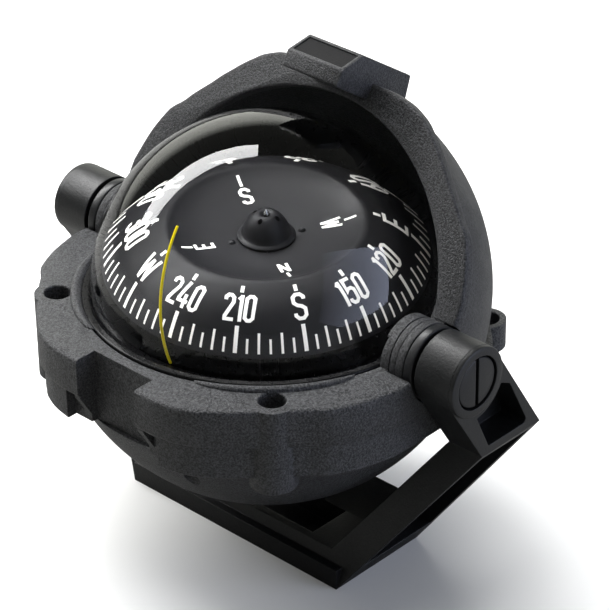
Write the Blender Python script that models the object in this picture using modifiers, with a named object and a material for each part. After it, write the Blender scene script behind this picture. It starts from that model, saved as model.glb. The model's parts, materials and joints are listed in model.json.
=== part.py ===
"""Bracket-mounted dome compass: a dome capsule in a moulded housing that tilts in a yoke bracket,
with a swing-over hood on the same axis and a card that tilts and turns on a jewel pivot.

Units are metres. The frame's origin is the centre of the bracket foot's underside, +Z is up,
-Y is the front of the compass (the lubber line) and +X runs along the tilt axis.
"""
import math

import bmesh
import bpy
from mathutils import Matrix, Vector

COLLECTION = "dome_compass"

# Frame and clearances
AXIS_Z = 0.1042            # tilt axis and dome centre above the foot's underside
FIT = 0.0003               # gap between pieces that touch
RUN = 0.0005               # gap between pieces that turn on each other

ROUND = 40                 # facets round a large turned piece

# Dome and capsule
DOME_R = 0.0675
DOME_WALL = 0.003
FLANGE_R = 0.071           # shared by dome, gasket and bowl
FLANGE_T = 0.0035
FLANGE_TOP = -0.003        # below the dome centre
GASKET_T = 0.0009
BOWL_R = 0.0665
BOWL_WALL = 0.003
BOWL_FLOOR = -0.048        # inner floor of the bowl
BOWL_HOLE_R = 0.015

# Housing
BEZEL_TOP = -0.0011
BEZEL_R = 0.0906           # lobe radius of the bezel
FLAT_DIST = 0.08765        # distance of the flats beside the screw holes
TRUNNION_FACE = 0.0862     # half width of the housing at the trunnions
UPPER_SKIRT = -0.017
SKIRT_STEP = 0.002
SKIRT_BOTTOM = -0.031
HOUSING_WALL = 0.003
REAR_TOP = -0.0223         # rear flange, under the open hood
HOLE_R = 0.0051
FRONT_HOLE_X = 0.0566
FRONT_HOLE_Y = -0.0566
FRONT_COLUMN_R = 0.009
FRONT_COLUMN_BOTTOM = -0.037
REAR_HOLE_X = 0.0543
REAR_HOLE_Y = 0.0655
REAR_COLUMN_R = 0.0078
REAR_COLUMN_BOTTOM = -0.035
NOTCH_HALF = 0.0152
NOTCH_BACK = 0.0762
POST_RING_R = 0.0710       # centres of the posts that take the shell screws
POST_R = 0.0038

# Lower shell
SHELL_R = 0.084
SHELL_WALL = 0.0025
SHELL_FLOOR_R = 0.018
SHELL_SCREW_R = 0.0016

# Trunnions, from the inside out along X
RING_R = 0.0142
BOSS_FACE = 0.0743
HOOD_RING = (0.0746, 0.0810)
COLLAR = (0.0813, 0.0851)
WASHER = (0.0854, 0.0867)
WASHER_R = 0.0126
STUB_R = 0.0065
SCREW_R = 0.0040

# Bracket
ARM = (0.0870, 0.1030)
BOSS_OUT = 0.1050
HEAD_R = 0.0101
HEAD_T = 0.0050
HEAD_INSET = 0.0004
HEAD_SLOT = 0.0015
ARM_FOOT_Y = (0.0057, 0.0392)
ARM_FOOT_Z = -0.0359       # from the axis
FOOT_HALF = 0.0556
FOOT_Y = (-0.0227, 0.0240)
FOOT_T = 0.0130
FOOT_SIDE = 0.0086
FOOT_REAR_T = 0.0190
FOOT_STEP_Y = 0.0052
FOOT_HOLE_R = 0.0026
FOOT_HOLE_X = 0.0260
LIP = 0.0032

# Hood, in its closed position about the tilt axis
HOOD_OPEN = math.radians(120)
HOOD_GAP = 0.0016          # rim face above the axis plane
HOOD_INNER = 0.0770
HOOD_WALL = 0.0030
HOOD_SIDE = 0.0846
HOOD_NEAR = 0.0152         # closest the shell comes to the tilt axis
HOOD_RIM_T = 0.0055
HOOD_TAIL_Z = -0.0200      # when open
GRIP_HALF = 0.0140

# Card and pivot
PIVOT_Z = 0.0170
CARD_HEADING = 240.85      # bearing under the lubber line, degrees
CARD_RIM_R = 0.0463
CARD_RIM_Z = -0.0010
RIDGE_R = 0.0295
RIDGE_Z = 0.0176
DISH_TOP = 0.0160
CARD_T = 0.0012
HUB_R = 0.0078
HUB_TOP = 0.0240
POST_STEM_R = 0.0025
PIN_R = 0.0008
WIRE_ARC_R = 0.0520
WIRE_R = 0.0009
LUBBER_RING = (0.0455, 0.0638)
LUBBER_RING_Z = (-0.0130, -0.0100)

MATERIALS = {
    "grained_plastic": ((0.018, 0.018, 0.020), 0.55, 0.0),
    "bracket_plastic": ((0.010, 0.010, 0.011), 0.45, 0.0),
    "smooth_plastic": ((0.012, 0.012, 0.013), 0.35, 0.0),
    "clear_acrylic": ((0.90, 0.93, 0.95), 0.03, 0.0),
    "rubber": ((0.010, 0.010, 0.010), 0.75, 0.0),
    "card_black": ((0.012, 0.012, 0.014), 0.50, 0.0),
    "lubber_yellow": ((0.85, 0.72, 0.02), 0.40, 0.0),
    "steel": ((0.55, 0.55, 0.56), 0.25, 1.0),
    "brass": ((0.70, 0.50, 0.20), 0.30, 1.0),
    "magnet_grey": ((0.25, 0.25, 0.27), 0.40, 1.0),
    "jewel": ((0.55, 0.10, 0.15), 0.10, 0.0),
}


def clearScene():
    for obj in list(bpy.data.objects):
        bpy.data.objects.remove(obj, do_unlink=True)
    for name in (COLLECTION, "cutters"):
        collection = bpy.data.collections.new(name)
        bpy.context.scene.collection.children.link(collection)


def makeMaterials():
    made = {}
    for name, (colour, roughness, metallic) in MATERIALS.items():
        material = bpy.data.materials.new(name)
        material.use_nodes = True
        shader = material.node_tree.nodes["Principled BSDF"]
        shader.inputs["Base Color"].default_value = (*colour, 1.0)
        shader.inputs["Roughness"].default_value = roughness
        shader.inputs["Metallic"].default_value = metallic
        if name == "clear_acrylic":
            shader.inputs["Transmission Weight"].default_value = 1.0
        made[name] = material
    return made


def makeEmpty(name, location, parent=None):
    empty = bpy.data.objects.new(name, None)
    empty.location = location
    empty.parent = parent
    bpy.data.collections[COLLECTION].objects.link(empty)
    return empty


def addObject(name, mesh, material=None, parent=None):
    """A part when it has a material, otherwise a cutter or a shape for a Boolean."""
    obj = bpy.data.objects.new(name, mesh)
    if material is None:
        obj.hide_render = True
        obj.display_type = "WIRE"
        bpy.data.collections["cutters"].objects.link(obj)
    else:
        mesh.materials.append(bpy.data.materials[material])
        bpy.data.collections[COLLECTION].objects.link(obj)
    obj.parent = parent
    return obj


def meshFrom(name, bm):
    bmesh.ops.recalc_face_normals(bm, faces=bm.faces)
    mesh = bpy.data.meshes.new(name)
    bm.to_mesh(mesh)
    bm.free()
    return mesh


def box(name, low, high, material=None, parent=None):
    bm = bmesh.new()
    bmesh.ops.create_cube(bm, size=1.0)
    low, high = Vector(low), Vector(high)
    size = high - low
    matrix = Matrix.Translation((low + high) / 2) @ Matrix.Diagonal((*size, 1.0))
    bmesh.ops.transform(bm, matrix=matrix, verts=bm.verts)
    return addObject(name, meshFrom(name, bm), material, parent)


def cylinder(name, radius, low, high, centre=(0.0, 0.0), steps=32, material=None, parent=None):
    """An upright cylinder between two heights."""
    bm = bmesh.new()
    bmesh.ops.create_cone(bm, cap_ends=True, segments=steps, radius1=radius, radius2=radius, depth=high - low)
    move = Matrix.Translation((centre[0], centre[1], (low + high) / 2))
    bmesh.ops.transform(bm, matrix=move, verts=bm.verts)
    obj = addObject(name, meshFrom(name, bm), material, parent)
    smooth(obj)
    return obj


def smooth(obj):
    obj.data.shade_smooth()
    obj.data.set_sharp_from_angle(angle=math.radians(35))


def prism(name, outline, start, end, axis="Z", material=None, parent=None):
    """A flat outline extruded along an axis. The outline is (x, y), or (y, z) along X."""
    bm = bmesh.new()
    place = {
        "Z": lambda a, b, depth: (a, b, depth),
        "X": lambda a, b, depth: (depth, a, b),
    }[axis]
    face = bm.faces.new([bm.verts.new(place(a, b, start)) for a, b in outline])
    moved = bmesh.ops.extrude_face_region(bm, geom=[face])
    shift = Vector(place(0.0, 0.0, end - start))
    verts = [item for item in moved["geom"] if isinstance(item, bmesh.types.BMVert)]
    bmesh.ops.translate(bm, vec=shift, verts=verts)
    return addObject(name, meshFrom(name, bm), material, parent)


def loftBlock(name, lower, upper):
    """A six-sided block between two level rectangles, each ((x0, x1), (y0, y1), z)."""
    bm = bmesh.new()
    bmesh.ops.create_cube(bm, size=2.0)
    for vert in bm.verts:
        (x0, x1), (y0, y1), z = upper if vert.co.z > 0 else lower
        vert.co = (x1 if vert.co.x > 0 else x0, y1 if vert.co.y > 0 else y0, z)
    return addObject(name, meshFrom(name, bm))


def turned(name, profile, steps=48, axis="Z", material=None, parent=None, closed=True):
    """A turned piece. The profile is (radius, height); an open one starts and ends on the axis."""
    area = sum(a[0] * b[1] - b[0] * a[1] for a, b in zip(profile, profile[1:] + profile[:1]))
    outward = profile if area < 0 else profile[::-1]
    bm = bmesh.new()
    verts = [bm.verts.new((r, 0.0, h) if axis == "Z" else (h, r, 0.0)) for r, h in outward]
    pairs = list(zip(verts, verts[1:]))
    if closed:
        pairs.append((verts[-1], verts[0]))
    for a, b in pairs:
        bm.edges.new((a, b))
    mesh = bpy.data.meshes.new(name)
    bm.to_mesh(mesh)
    bm.free()
    obj = addObject(name, mesh, material, parent)
    screw = obj.modifiers.new("turn", "SCREW")
    screw.axis = axis
    screw.steps = steps
    screw.render_steps = steps
    screw.use_merge_vertices = True
    screw.merge_threshold = 0.00001
    screw.use_smooth_shade = True
    return obj


def cut(obj, cutter, operation="DIFFERENCE"):
    modifier = obj.modifiers.new(cutter.name, "BOOLEAN")
    modifier.operation = operation
    modifier.solver = "EXACT"
    modifier.object = cutter
    return obj


def join(obj, other):
    return cut(obj, other, "UNION")


def combine(obj, operation, tag, others):
    """One Boolean with several shapes at once."""
    group = bpy.data.collections.new(obj.name + "_" + tag)
    bpy.data.collections["cutters"].children.link(group)
    for other in others:
        bpy.data.collections["cutters"].objects.unlink(other)
        group.objects.link(other)
    modifier = obj.modifiers.new(tag, "BOOLEAN")
    modifier.operand_type = "COLLECTION"
    modifier.operation = operation
    modifier.solver = "EXACT"
    modifier.collection = group
    return obj


def weld(obj):
    """Closes hairline gaps that the Booleans leave."""
    obj.modifiers.new("weld", "WELD").merge_threshold = 0.000002
    return obj


def arc(radius, start, end, count, centre=(0.0, 0.0)):
    """Points on an arc, angles in degrees, both ends included."""
    angles = [math.radians(start + (end - start) * i / count) for i in range(count + 1)]
    return [(centre[0] + radius * math.cos(a), centre[1] + radius * math.sin(a)) for a in angles]


def bezelRadius(angle, inset=0.0):
    """Outer radius of the bezel at an angle from the front, in degrees: lobes, hole flats, side flats."""
    a = math.radians(abs(angle))
    reach = [BEZEL_R - inset]
    for flat in (45, 135):
        facing = math.cos(a - math.radians(flat))
        if facing > 0.5:
            reach.append((FLAT_DIST - inset) / facing)
    if math.sin(a) > 0.5:
        reach.append(TRUNNION_FACE / math.sin(a))
    return min(reach)


def bezelOutline(inset=0.0, step=5):
    angles = range(-180, 180, step)
    radii = [(bezelRadius(a, inset), math.radians(a)) for a in angles]
    return [(r * math.sin(a), -r * math.cos(a)) for r, a in radii]


def sphereArc(radius, start, end, count):
    """(radius, height) points on a sphere about the dome centre, elevations in degrees."""
    return arc(radius, start, end, count)


def alongX(name, radius, inner, span, side, steps=32, material=None, parent=None):
    """A disc or ring about the tilt axis, between two distances on one side."""
    low, high = sorted((side * span[0], side * span[1]))
    if inner:
        profile = [(inner, high), (radius, high), (radius, low), (inner, low)]
        return turned(name, profile, steps, "X", material, parent)
    profile = [(0.0, high), (radius, high), (radius, low), (0.0, low)]
    return turned(name, profile, steps, "X", material, parent, closed=False)


# --- bracket ---------------------------------------------------------------------------------------

def armOutline(grow=0.0):
    """Side view of an arm: the boss circle and its tangents to the arm's foot, from the axis."""
    points = []
    for y, z in ((ARM_FOOT_Y[1], ARM_FOOT_Z), (ARM_FOOT_Y[0], ARM_FOOT_Z)):
        reach = math.hypot(y, z)
        side = 1 if y == ARM_FOOT_Y[1] else -1
        tangent = math.atan2(z, y) + side * math.acos((RING_R + grow) / reach)
        points.append(math.degrees(tangent))
    start, end = points[0], points[1] + 360
    circle = arc(RING_R + grow, start, end, 22)
    return circle + [(ARM_FOOT_Y[0], ARM_FOOT_Z), (ARM_FOOT_Y[1], ARM_FOOT_Z)]


def strutEnds(inset_out=0.0, lip=0.0, past=0.0):
    """Lower and upper sections of the right strut, the outer channel's when lip is given."""
    x_in = FOOT_HALF - (ARM[1] - ARM[0])
    low_x = (FOOT_HALF - inset_out, FOOT_HALF + past) if lip else (x_in, FOOT_HALF)
    top_x = (ARM[1] - inset_out, ARM[1] + past) if lip else ARM
    low_y = (FOOT_Y[0] + lip, FOOT_Y[1] - lip)
    top_y = (ARM_FOOT_Y[0] + lip, ARM_FOOT_Y[1] - lip)
    return (low_x, low_y, 0.0), (top_x, top_y, AXIS_Z + ARM_FOOT_Z)


def along(lower, upper, t):
    """A level section part of the way between two others."""
    def mix(a, b):
        return a + (b - a) * t
    xs = tuple(mix(a, b) for a, b in zip(lower[0], upper[0]))
    ys = tuple(mix(a, b) for a, b in zip(lower[1], upper[1]))
    return xs, ys, mix(lower[2], upper[2])


def mirrored(section):
    (x0, x1), ys, z = section
    return (-x1, -x0), ys, z


def footOutline():
    rise = (FOOT_T / (AXIS_Z + ARM_FOOT_Z)) * (ARM_FOOT_Y[0] - FOOT_Y[0])
    return [(FOOT_Y[0], 0.0), (FOOT_Y[1], 0.0), (FOOT_Y[1], FOOT_REAR_T),
            (FOOT_STEP_Y, FOOT_T), (FOOT_Y[0] + rise, FOOT_T)]


def makeBracket():
    core = FOOT_HALF - 0.004
    obj = prism("yoke_bracket", footOutline(), -core, core, "X", "bracket_plastic")
    side = FOOT_HALF
    join(obj, box("foot_base", (-side, FOOT_Y[0], 0.0), (side, FOOT_Y[1], FOOT_SIDE)))
    for sign, tag in ((1, "right"), (-1, "left")):
        lower, upper = strutEnds()
        top = ((ARM[0] + 0.00002, ARM[1] - 0.00002), upper[1], upper[2] + 0.0001)
        if sign < 0:
            lower, top = mirrored(lower), mirrored(top)
        join(obj, loftBlock("strut_" + tag, lower, top))
        start, end = sorted((sign * ARM[0], sign * ARM[1]))
        arm = prism("arm_" + tag, armOutline(0.0002), start, end, "X")
        arm.location.z = AXIS_Z
        join(obj, arm)
        boss = alongX("boss_" + tag, RING_R, 0.0, (0.0950, BOSS_OUT), sign)
        boss.location.z = AXIS_Z
        join(obj, boss)
    for sign, tag in ((1, "right"), (-1, "left")):
        cutArmPocket(obj, sign, tag)
        cutStrutChannel(obj, sign, tag)
    pocket_y = (FOOT_Y[0] + 0.0085, FOOT_STEP_Y - FIT)
    pocket_x = FOOT_HALF - (ARM[1] - ARM[0]) - 0.004
    cut(obj, box("foot_pocket", (-pocket_x, pocket_y[0], 0.0035), (pocket_x, pocket_y[1], 0.03)))
    for sign, tag in ((1, "right"), (-1, "left")):
        centre = (sign * FOOT_HOLE_X, sum(pocket_y) / 2)
        cut(obj, cylinder("foot_hole_" + tag, FOOT_HOLE_R, -0.01, 0.01, centre, 20))
    cutScrewSeats(obj)
    return obj


def cutArmPocket(obj, sign, tag):
    start, end = sorted((sign * (ARM[1] - 0.0120), sign * (ARM[1] + 0.004)))
    near = arc(RING_R + 0.0032, -83, -27, 6)
    low = ARM_FOOT_Z + 0.0034
    outline = near + [(0.0207, -0.0105), (0.0318, low), (0.0092, low)]
    pocket = prism("arm_pocket_" + tag, outline, start, end, "X")
    pocket.location.z = AXIS_Z
    cut(obj, pocket)


def cutStrutChannel(obj, sign, tag):
    lower, upper = strutEnds(0.0105, LIP, 0.010)
    low_cut, top_cut = along(lower, upper, 0.16), along(lower, upper, 0.96)
    if sign < 0:
        low_cut, top_cut = mirrored(low_cut), mirrored(top_cut)
    cut(obj, loftBlock("strut_channel_" + tag, low_cut, top_cut))


def cutScrewSeats(obj):
    """One stepped cutter through both arms: the shank's bore and a counterbore at each end."""
    seat = BOSS_OUT - HEAD_INSET - HEAD_T - FIT
    bore, wide, far = SCREW_R + FIT, HEAD_R + 0.0006, 0.1120
    profile = [(0.0, far), (wide, far), (wide, seat), (bore, seat),
               (bore, -seat), (wide, -seat), (wide, -far), (0.0, -far)]
    cutter = turned("arm_bores", profile, 32, "X", closed=False)
    cutter.location.z = AXIS_Z
    cut(obj, cutter)


def makePivotScrews():
    for sign, tag in ((1, "right"), (-1, "left")):
        face = BOSS_OUT - HEAD_INSET
        profile = [(0.0, sign * face), (HEAD_R, sign * face), (HEAD_R, sign * (face - HEAD_T)),
                   (SCREW_R, sign * (face - HEAD_T)), (SCREW_R, sign * 0.0765), (0.0, sign * 0.0765)]
        obj = turned("pivot_screw_" + tag, profile, 32, "X", "smooth_plastic", closed=False)
        low, high = sorted((sign * (face - 0.0025), sign * (face + 0.002)))
        half = HEAD_SLOT / 2
        slot = box("slot_" + tag, (low, -half, -0.012), (high, half, 0.012))
        slot.location.z = AXIS_Z
        obj.location.z = AXIS_Z
        cut(obj, slot)
        washer = alongX("pivot_washer_" + tag, WASHER_R, SCREW_R + FIT, WASHER, sign, 32, "rubber")
        washer.location.z = AXIS_Z


# --- compass body ----------------------------------------------------------------------------------

def sectorBlock(name, inner, low, high, pivot):
    """Everything behind the tilt axis outside a radius, between two heights."""
    block = box(name, (-0.11, 0.0007, low), (0.11, 0.12, high), parent=pivot)
    cut(block, cylinder(name + "_keep", inner, low - 0.01, high + 0.01, steps=ROUND, parent=pivot))
    return block


def columnPlaces():
    for sign in (-1, 1):
        yield sign * FRONT_HOLE_X, FRONT_HOLE_Y, FRONT_COLUMN_R, FRONT_COLUMN_BOTTOM, BEZEL_TOP
        yield sign * REAR_HOLE_X, REAR_HOLE_Y, REAR_COLUMN_R, REAR_COLUMN_BOTTOM, REAR_TOP


def shellScrewPlaces():
    for angle in (20, 160, 200, 340):
        a = math.radians(angle)
        yield POST_RING_R * math.sin(a), -POST_RING_R * math.cos(a)


def capsuleBore(name, pivot):
    ledge = FLANGE_TOP - 2 * FLANGE_T - GASKET_T - 3 * FIT
    profile = [(0.0, 0.02), (FLANGE_R + FIT, 0.02), (FLANGE_R + FIT, ledge), (BOWL_R + 0.0016, ledge),
               (BOWL_R + 0.0016, -0.06), (0.0, -0.06)]
    return turned(name, profile, ROUND, parent=pivot, closed=False)


def housingHollows(pivot):
    """Everything taken out of the skirts before columns, posts and trunnions go in."""
    wall_in, wall_out = FLANGE_R + HOUSING_WALL + 0.0015, FLAT_DIST - SKIRT_STEP - HOUSING_WALL
    roof, rear_roof, low = BEZEL_TOP - 0.0035, REAR_TOP - HOUSING_WALL, -0.05
    rear = [(0.060, rear_roof), (wall_out, rear_roof), (wall_out, low), (0.060, low)]
    front = [(wall_in, roof), (wall_out + 0.0005, roof), (wall_out + 0.0005, rear_roof - 0.001),
             (wall_in, rear_roof - 0.001)]
    front_cavity = turned("front_cavity", front, ROUND, parent=pivot)
    cut(front_cavity, box("front_cavity_end", (-0.1, -0.0020, -0.06), (0.1, 0.1, 0.02), parent=pivot))
    return [capsuleBore("capsule_bore", pivot),
            turned("housing_cavity", rear, ROUND, parent=pivot),
            front_cavity,
            sectorBlock("rear_step", wall_in + 0.0004, REAR_TOP, 0.03, pivot),
            twoEnded("ring_rooms", 32, (0.0010, BOSS_FACE - FIT), (RING_R + 0.0008, 0.095), parent=pivot)]


def housingAdds(pivot):
    adds = []
    for i, (x, y, radius, low, high) in enumerate(columnPlaces()):
        adds.append(cylinder("column_%d" % i, radius, low, high - 0.0002, (x, y), 20, parent=pivot))
    for i, (x, y) in enumerate(shellScrewPlaces()):
        adds.append(cylinder("screw_post_%d" % i, POST_R, -0.0330, -0.0140, (x, y), 12, parent=pivot))
    spans = ((0.0010, 0.0702), (RING_R, BOSS_FACE), (STUB_R, COLLAR[1]))
    adds.append(twoEnded("trunnions", 32, *spans, parent=pivot))
    return adds


def housingHoles(pivot):
    holes = [capsuleBore("capsule_clear", pivot),
             twoEnded("trunnion_bore", 20, (SCREW_R + FIT, 0.095), parent=pivot),
             box("hood_notch", (-NOTCH_HALF, -0.11, -0.06), (NOTCH_HALF, -NOTCH_BACK, 0.01), parent=pivot)]
    for i, (x, y, radius, low, high) in enumerate(columnPlaces()):
        holes.append(cylinder("mount_hole_%d" % i, HOLE_R, -0.05, 0.01, (x, y), 16, parent=pivot))
    for i, (x, y) in enumerate(shellScrewPlaces()):
        holes.append(cylinder("post_bore_%d" % i, SHELL_SCREW_R + FIT, -0.05, -0.022, (x, y), 10, parent=pivot))
    return holes


def makeHousing(pivot):
    obj = prism("bezel_housing", bezelOutline(), UPPER_SKIRT, BEZEL_TOP, "Z", "grained_plastic", pivot)
    join(obj, prism("lower_skirt", bezelOutline(SKIRT_STEP), SKIRT_BOTTOM, UPPER_SKIRT + 0.001,
                    parent=pivot))
    combine(obj, "DIFFERENCE", "hollows", housingHollows(pivot))
    combine(obj, "UNION", "adds", housingAdds(pivot))
    combine(obj, "DIFFERENCE", "holes", housingHoles(pivot))
    weld(obj)
    for sign, tag in ((1, "right"), (-1, "left")):
        alongX("trunnion_collar_" + tag, RING_R, STUB_R + FIT, COLLAR, sign, 32, "grained_plastic", pivot)
    return obj


def twoEnded(name, steps, *spans, parent=None):
    """A turned shape about the tilt axis that is the same on both sides; spans are (radius, reach)."""
    profile = [(0.0, spans[-1][1])]
    for i in range(len(spans) - 1, -1, -1):
        radius, reach = spans[i]
        start = spans[i - 1][1] if i else 0.0
        profile += [(radius, reach)] + ([(radius, start)] if i else [])
    other = [(r, -x) for r, x in profile[::-1]]
    return turned(name, profile + other, steps, "X", parent=parent, closed=False)


def makeLowerShell(pivot):
    top = SKIRT_BOTTOM - FIT
    start = -math.degrees(math.asin(-top / SHELL_R))
    floor = math.sqrt((SHELL_R - SHELL_WALL) ** 2 - SHELL_FLOOR_R ** 2)
    inner_start = -math.degrees(math.asin(-top / (SHELL_R - SHELL_WALL)))
    inner_end = -math.degrees(math.acos(SHELL_FLOOR_R / (SHELL_R - SHELL_WALL)))
    outer = sphereArc(SHELL_R, start, -90, 6)
    inner = sphereArc(SHELL_R - SHELL_WALL, inner_end, inner_start, 4)
    outer[-1] = (0.0, -SHELL_R)
    rim = SHELL_R * math.cos(math.radians(start))
    lip = REAR_TOP - HOUSING_WALL - 0.0008
    collar = [(inner[-1][0], lip), (rim, lip)]
    profile = [(0.0, -floor)] + inner + collar + outer
    obj = turned("lower_shell", profile, ROUND, "Z", "grained_plastic", pivot, closed=False)
    for i, (x, y) in enumerate(shellScrewPlaces()):
        join(obj, cylinder("shell_boss_%d" % i, POST_R, -0.0440, -0.0333, (x, y), 12, parent=pivot))
    for i, (x, y) in enumerate(shellScrewPlaces()):
        cut(obj, cylinder("shell_bore_%d" % i, SHELL_SCREW_R + FIT, -0.07, -0.015, (x, y), 10, parent=pivot))
        cut(obj, cylinder("head_well_%d" % i, 0.0032, -0.07, -0.0365, (x, y), 16, parent=pivot))
        cut(obj, cylinder("post_room_%d" % i, POST_R + FIT, -0.0333, -0.010, (x, y), 12, parent=pivot))
    for i, (x, y, radius, low, high) in enumerate(columnPlaces()):
        cut(obj, cylinder("column_room_%d" % i, radius + 0.0005, low - 0.0005, 0.0, (x, y), 20, parent=pivot))
    notch = box("notch_room", (-NOTCH_HALF - 0.003, -0.11, -0.0312), (NOTCH_HALF + 0.003, -0.0742, 0.0),
                parent=pivot)
    cut(obj, notch)
    for i, (x, y) in enumerate(shellScrewPlaces()):
        head, tip = -0.0400, -0.0240
        profile = [(0.0, tip), (SHELL_SCREW_R, tip), (SHELL_SCREW_R, -0.0368), (0.0028, -0.0368),
                   (0.0028, head), (0.0, head)]
        screw = turned("shell_screw_%d" % (i + 1), profile, 16, "Z", "steel", pivot, closed=False)
        screw.location = (x, y, 0.0)
    return obj


def makeCapsule(pivot):
    bottom = FLANGE_TOP - FLANGE_T
    inner = DOME_R - DOME_WALL
    dome = sphereArc(DOME_R, 90, 0, 8)
    dome[0] = (0.0, DOME_R)
    inside = sphereArc(inner, 0, 90, 7)
    inside[-1] = (0.0, inner)
    profile = dome + [(DOME_R, FLANGE_TOP), (FLANGE_R, FLANGE_TOP), (FLANGE_R, bottom), (inner, bottom)] + inside
    turned("dome", profile, ROUND, "Z", "clear_acrylic", pivot, closed=False)
    gasket_top = bottom - FIT
    gasket_low = gasket_top - GASKET_T
    turned("dome_gasket", [(0.0660, gasket_top), (0.0706, gasket_top), (0.0706, gasket_low), (0.0660, gasket_low)],
           ROUND, "Z", "rubber", pivot)
    bowl_top = gasket_low - FIT
    turned("dome_ring", [(DOME_R + FIT, -0.0012), (0.0690, -0.0004), (FLANGE_R, -0.0012),
                         (FLANGE_R, FLANGE_TOP + FIT), (DOME_R + FIT, FLANGE_TOP + FIT)],
           ROUND, "Z", "smooth_plastic", pivot)
    makeBowl(pivot, bowl_top)


def makeBowl(pivot, top):
    inner = BOWL_R - BOWL_WALL
    seat = LUBBER_RING_Z[0] - FIT
    start = -math.degrees(math.asin(-(top - FLANGE_T) / BOWL_R))
    floor_out = BOWL_FLOOR - BOWL_WALL
    end = -math.degrees(math.asin(-floor_out / BOWL_R))
    in_start = -math.degrees(math.asin(-seat / inner))
    in_end = -math.degrees(math.asin(-BOWL_FLOOR / inner))
    outside = sphereArc(BOWL_R, start, end, 4)
    inside = sphereArc(inner, in_end, in_start, 3)
    profile = ([(FLANGE_R, top), (FLANGE_R, top - FLANGE_T)] + outside
               + [(BOWL_HOLE_R, floor_out), (BOWL_HOLE_R, BOWL_FLOOR)] + inside
               + [(LUBBER_RING[1] + FIT, seat), (LUBBER_RING[1] + FIT, top)])
    bowl = turned("capsule_bowl", profile, ROUND, "Z", "smooth_plastic", pivot)
    cut(bowl, cylinder("plug_hole", 0.0030 + FIT, -0.06, -0.04, (0.0, 0.0340), 20, parent=pivot))
    for i, (x, y) in enumerate(coverScrewPlaces()):
        cut(bowl, cylinder("bowl_screw_hole_%d" % i, 0.0010 + FIT, -0.06, -0.0490, (x, y), 12, parent=pivot))
    plug = [(0.0, -0.0480), (0.0030, -0.0480), (0.0030, floor_out - FIT), (0.0050, floor_out - FIT),
            (0.0050, -0.0540), (0.0, -0.0540)]
    turned("filler_plug", plug, 20, "Z", "brass", pivot, closed=False).location = (0.0, 0.0340, 0.0)
    makeDiaphragm(pivot, floor_out)
    makeLubber(pivot)


def coverScrewPlaces():
    for k in range(3):
        a = math.radians(90 + 120 * k)
        yield 0.0230 * math.cos(a), 0.0230 * math.sin(a)


def makeDiaphragm(pivot, floor_out):
    top = floor_out - FIT
    low = top - 0.0013
    profile = [(0.0, top - 0.0004), (0.0100, top - 0.0004), (0.0120, top), (0.0255, top), (0.0255, low),
               (0.0120, low), (0.0100, low - 0.0012), (0.0, low - 0.0012)]
    diaphragm = turned("diaphragm", profile, 24, "Z", "rubber", pivot, closed=False)
    cover_top = low - FIT
    cover = [(0.0150, cover_top), (0.0255, cover_top), (0.0255, cover_top - 0.0025), (0.0180, cover_top - 0.0070),
             (0.0020, cover_top - 0.0070), (0.0020, cover_top - 0.0050), (0.0150, cover_top - 0.0050)]
    plate = turned("diaphragm_cover", cover, 24, "Z", "smooth_plastic", pivot)
    for i, (x, y) in enumerate(coverScrewPlaces()):
        cut(diaphragm, cylinder("diaphragm_hole_%d" % i, 0.0010 + FIT, -0.07, -0.04, (x, y), 12, parent=pivot))
        cut(plate, cylinder("cover_hole_%d" % i, 0.0010 + FIT, -0.07, -0.04, (x, y), 12, parent=pivot))
        cut(plate, cylinder("cover_well_%d" % i, 0.0024, -0.07, cover_top - 0.0020, (x, y), 16, parent=pivot))
        head = cover_top - 0.0020 - FIT
        profile = [(0.0, -0.0494), (0.0010, -0.0494), (0.0010, head), (0.0020, head),
                   (0.0020, head - 0.0015), (0.0, head - 0.0015)]
        screw = turned("cover_screw_%d" % (i + 1), profile, 14, "Z", "steel", pivot, closed=False)
        screw.location = (x, y, 0.0)


def makeLubber(pivot):
    low, high = LUBBER_RING_Z
    ring = turned("lubber_ring", [(LUBBER_RING[0], high), (LUBBER_RING[1], high), (LUBBER_RING[1], low),
                                  (LUBBER_RING[0], low)], ROUND, "Z", "smooth_plastic", pivot)
    foot = -math.sqrt(WIRE_ARC_R ** 2 - (PIVOT_Z - high) ** 2)
    hole = cylinder("lubber_hole", WIRE_R + FIT, low - 0.001, high + 0.001, (0.0, foot), 16, parent=pivot)
    cut(ring, hole)
    start = math.degrees(math.atan2(high - PIVOT_Z, foot))
    points = arc(WIRE_ARC_R, 210.5, 149.5, 14, (0.0, PIVOT_Z))
    route = [(0.0, foot, low + 0.0003)] + [(0.0, y, z) for y, z in points]
    curve = bpy.data.curves.new("lubber_line", "CURVE")
    curve.dimensions = "3D"
    curve.bevel_depth = WIRE_R
    curve.bevel_resolution = 2
    curve.use_fill_caps = True
    spline = curve.splines.new("POLY")
    spline.points.add(len(route) - 1)
    for point, place in zip(spline.points, route):
        point.co = (*place, 1.0)
    curve.materials.append(bpy.data.materials["lubber_yellow"])
    wire = bpy.data.objects.new("lubber_line", curve)
    wire.parent = pivot
    bpy.data.collections[COLLECTION].objects.link(wire)


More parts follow.
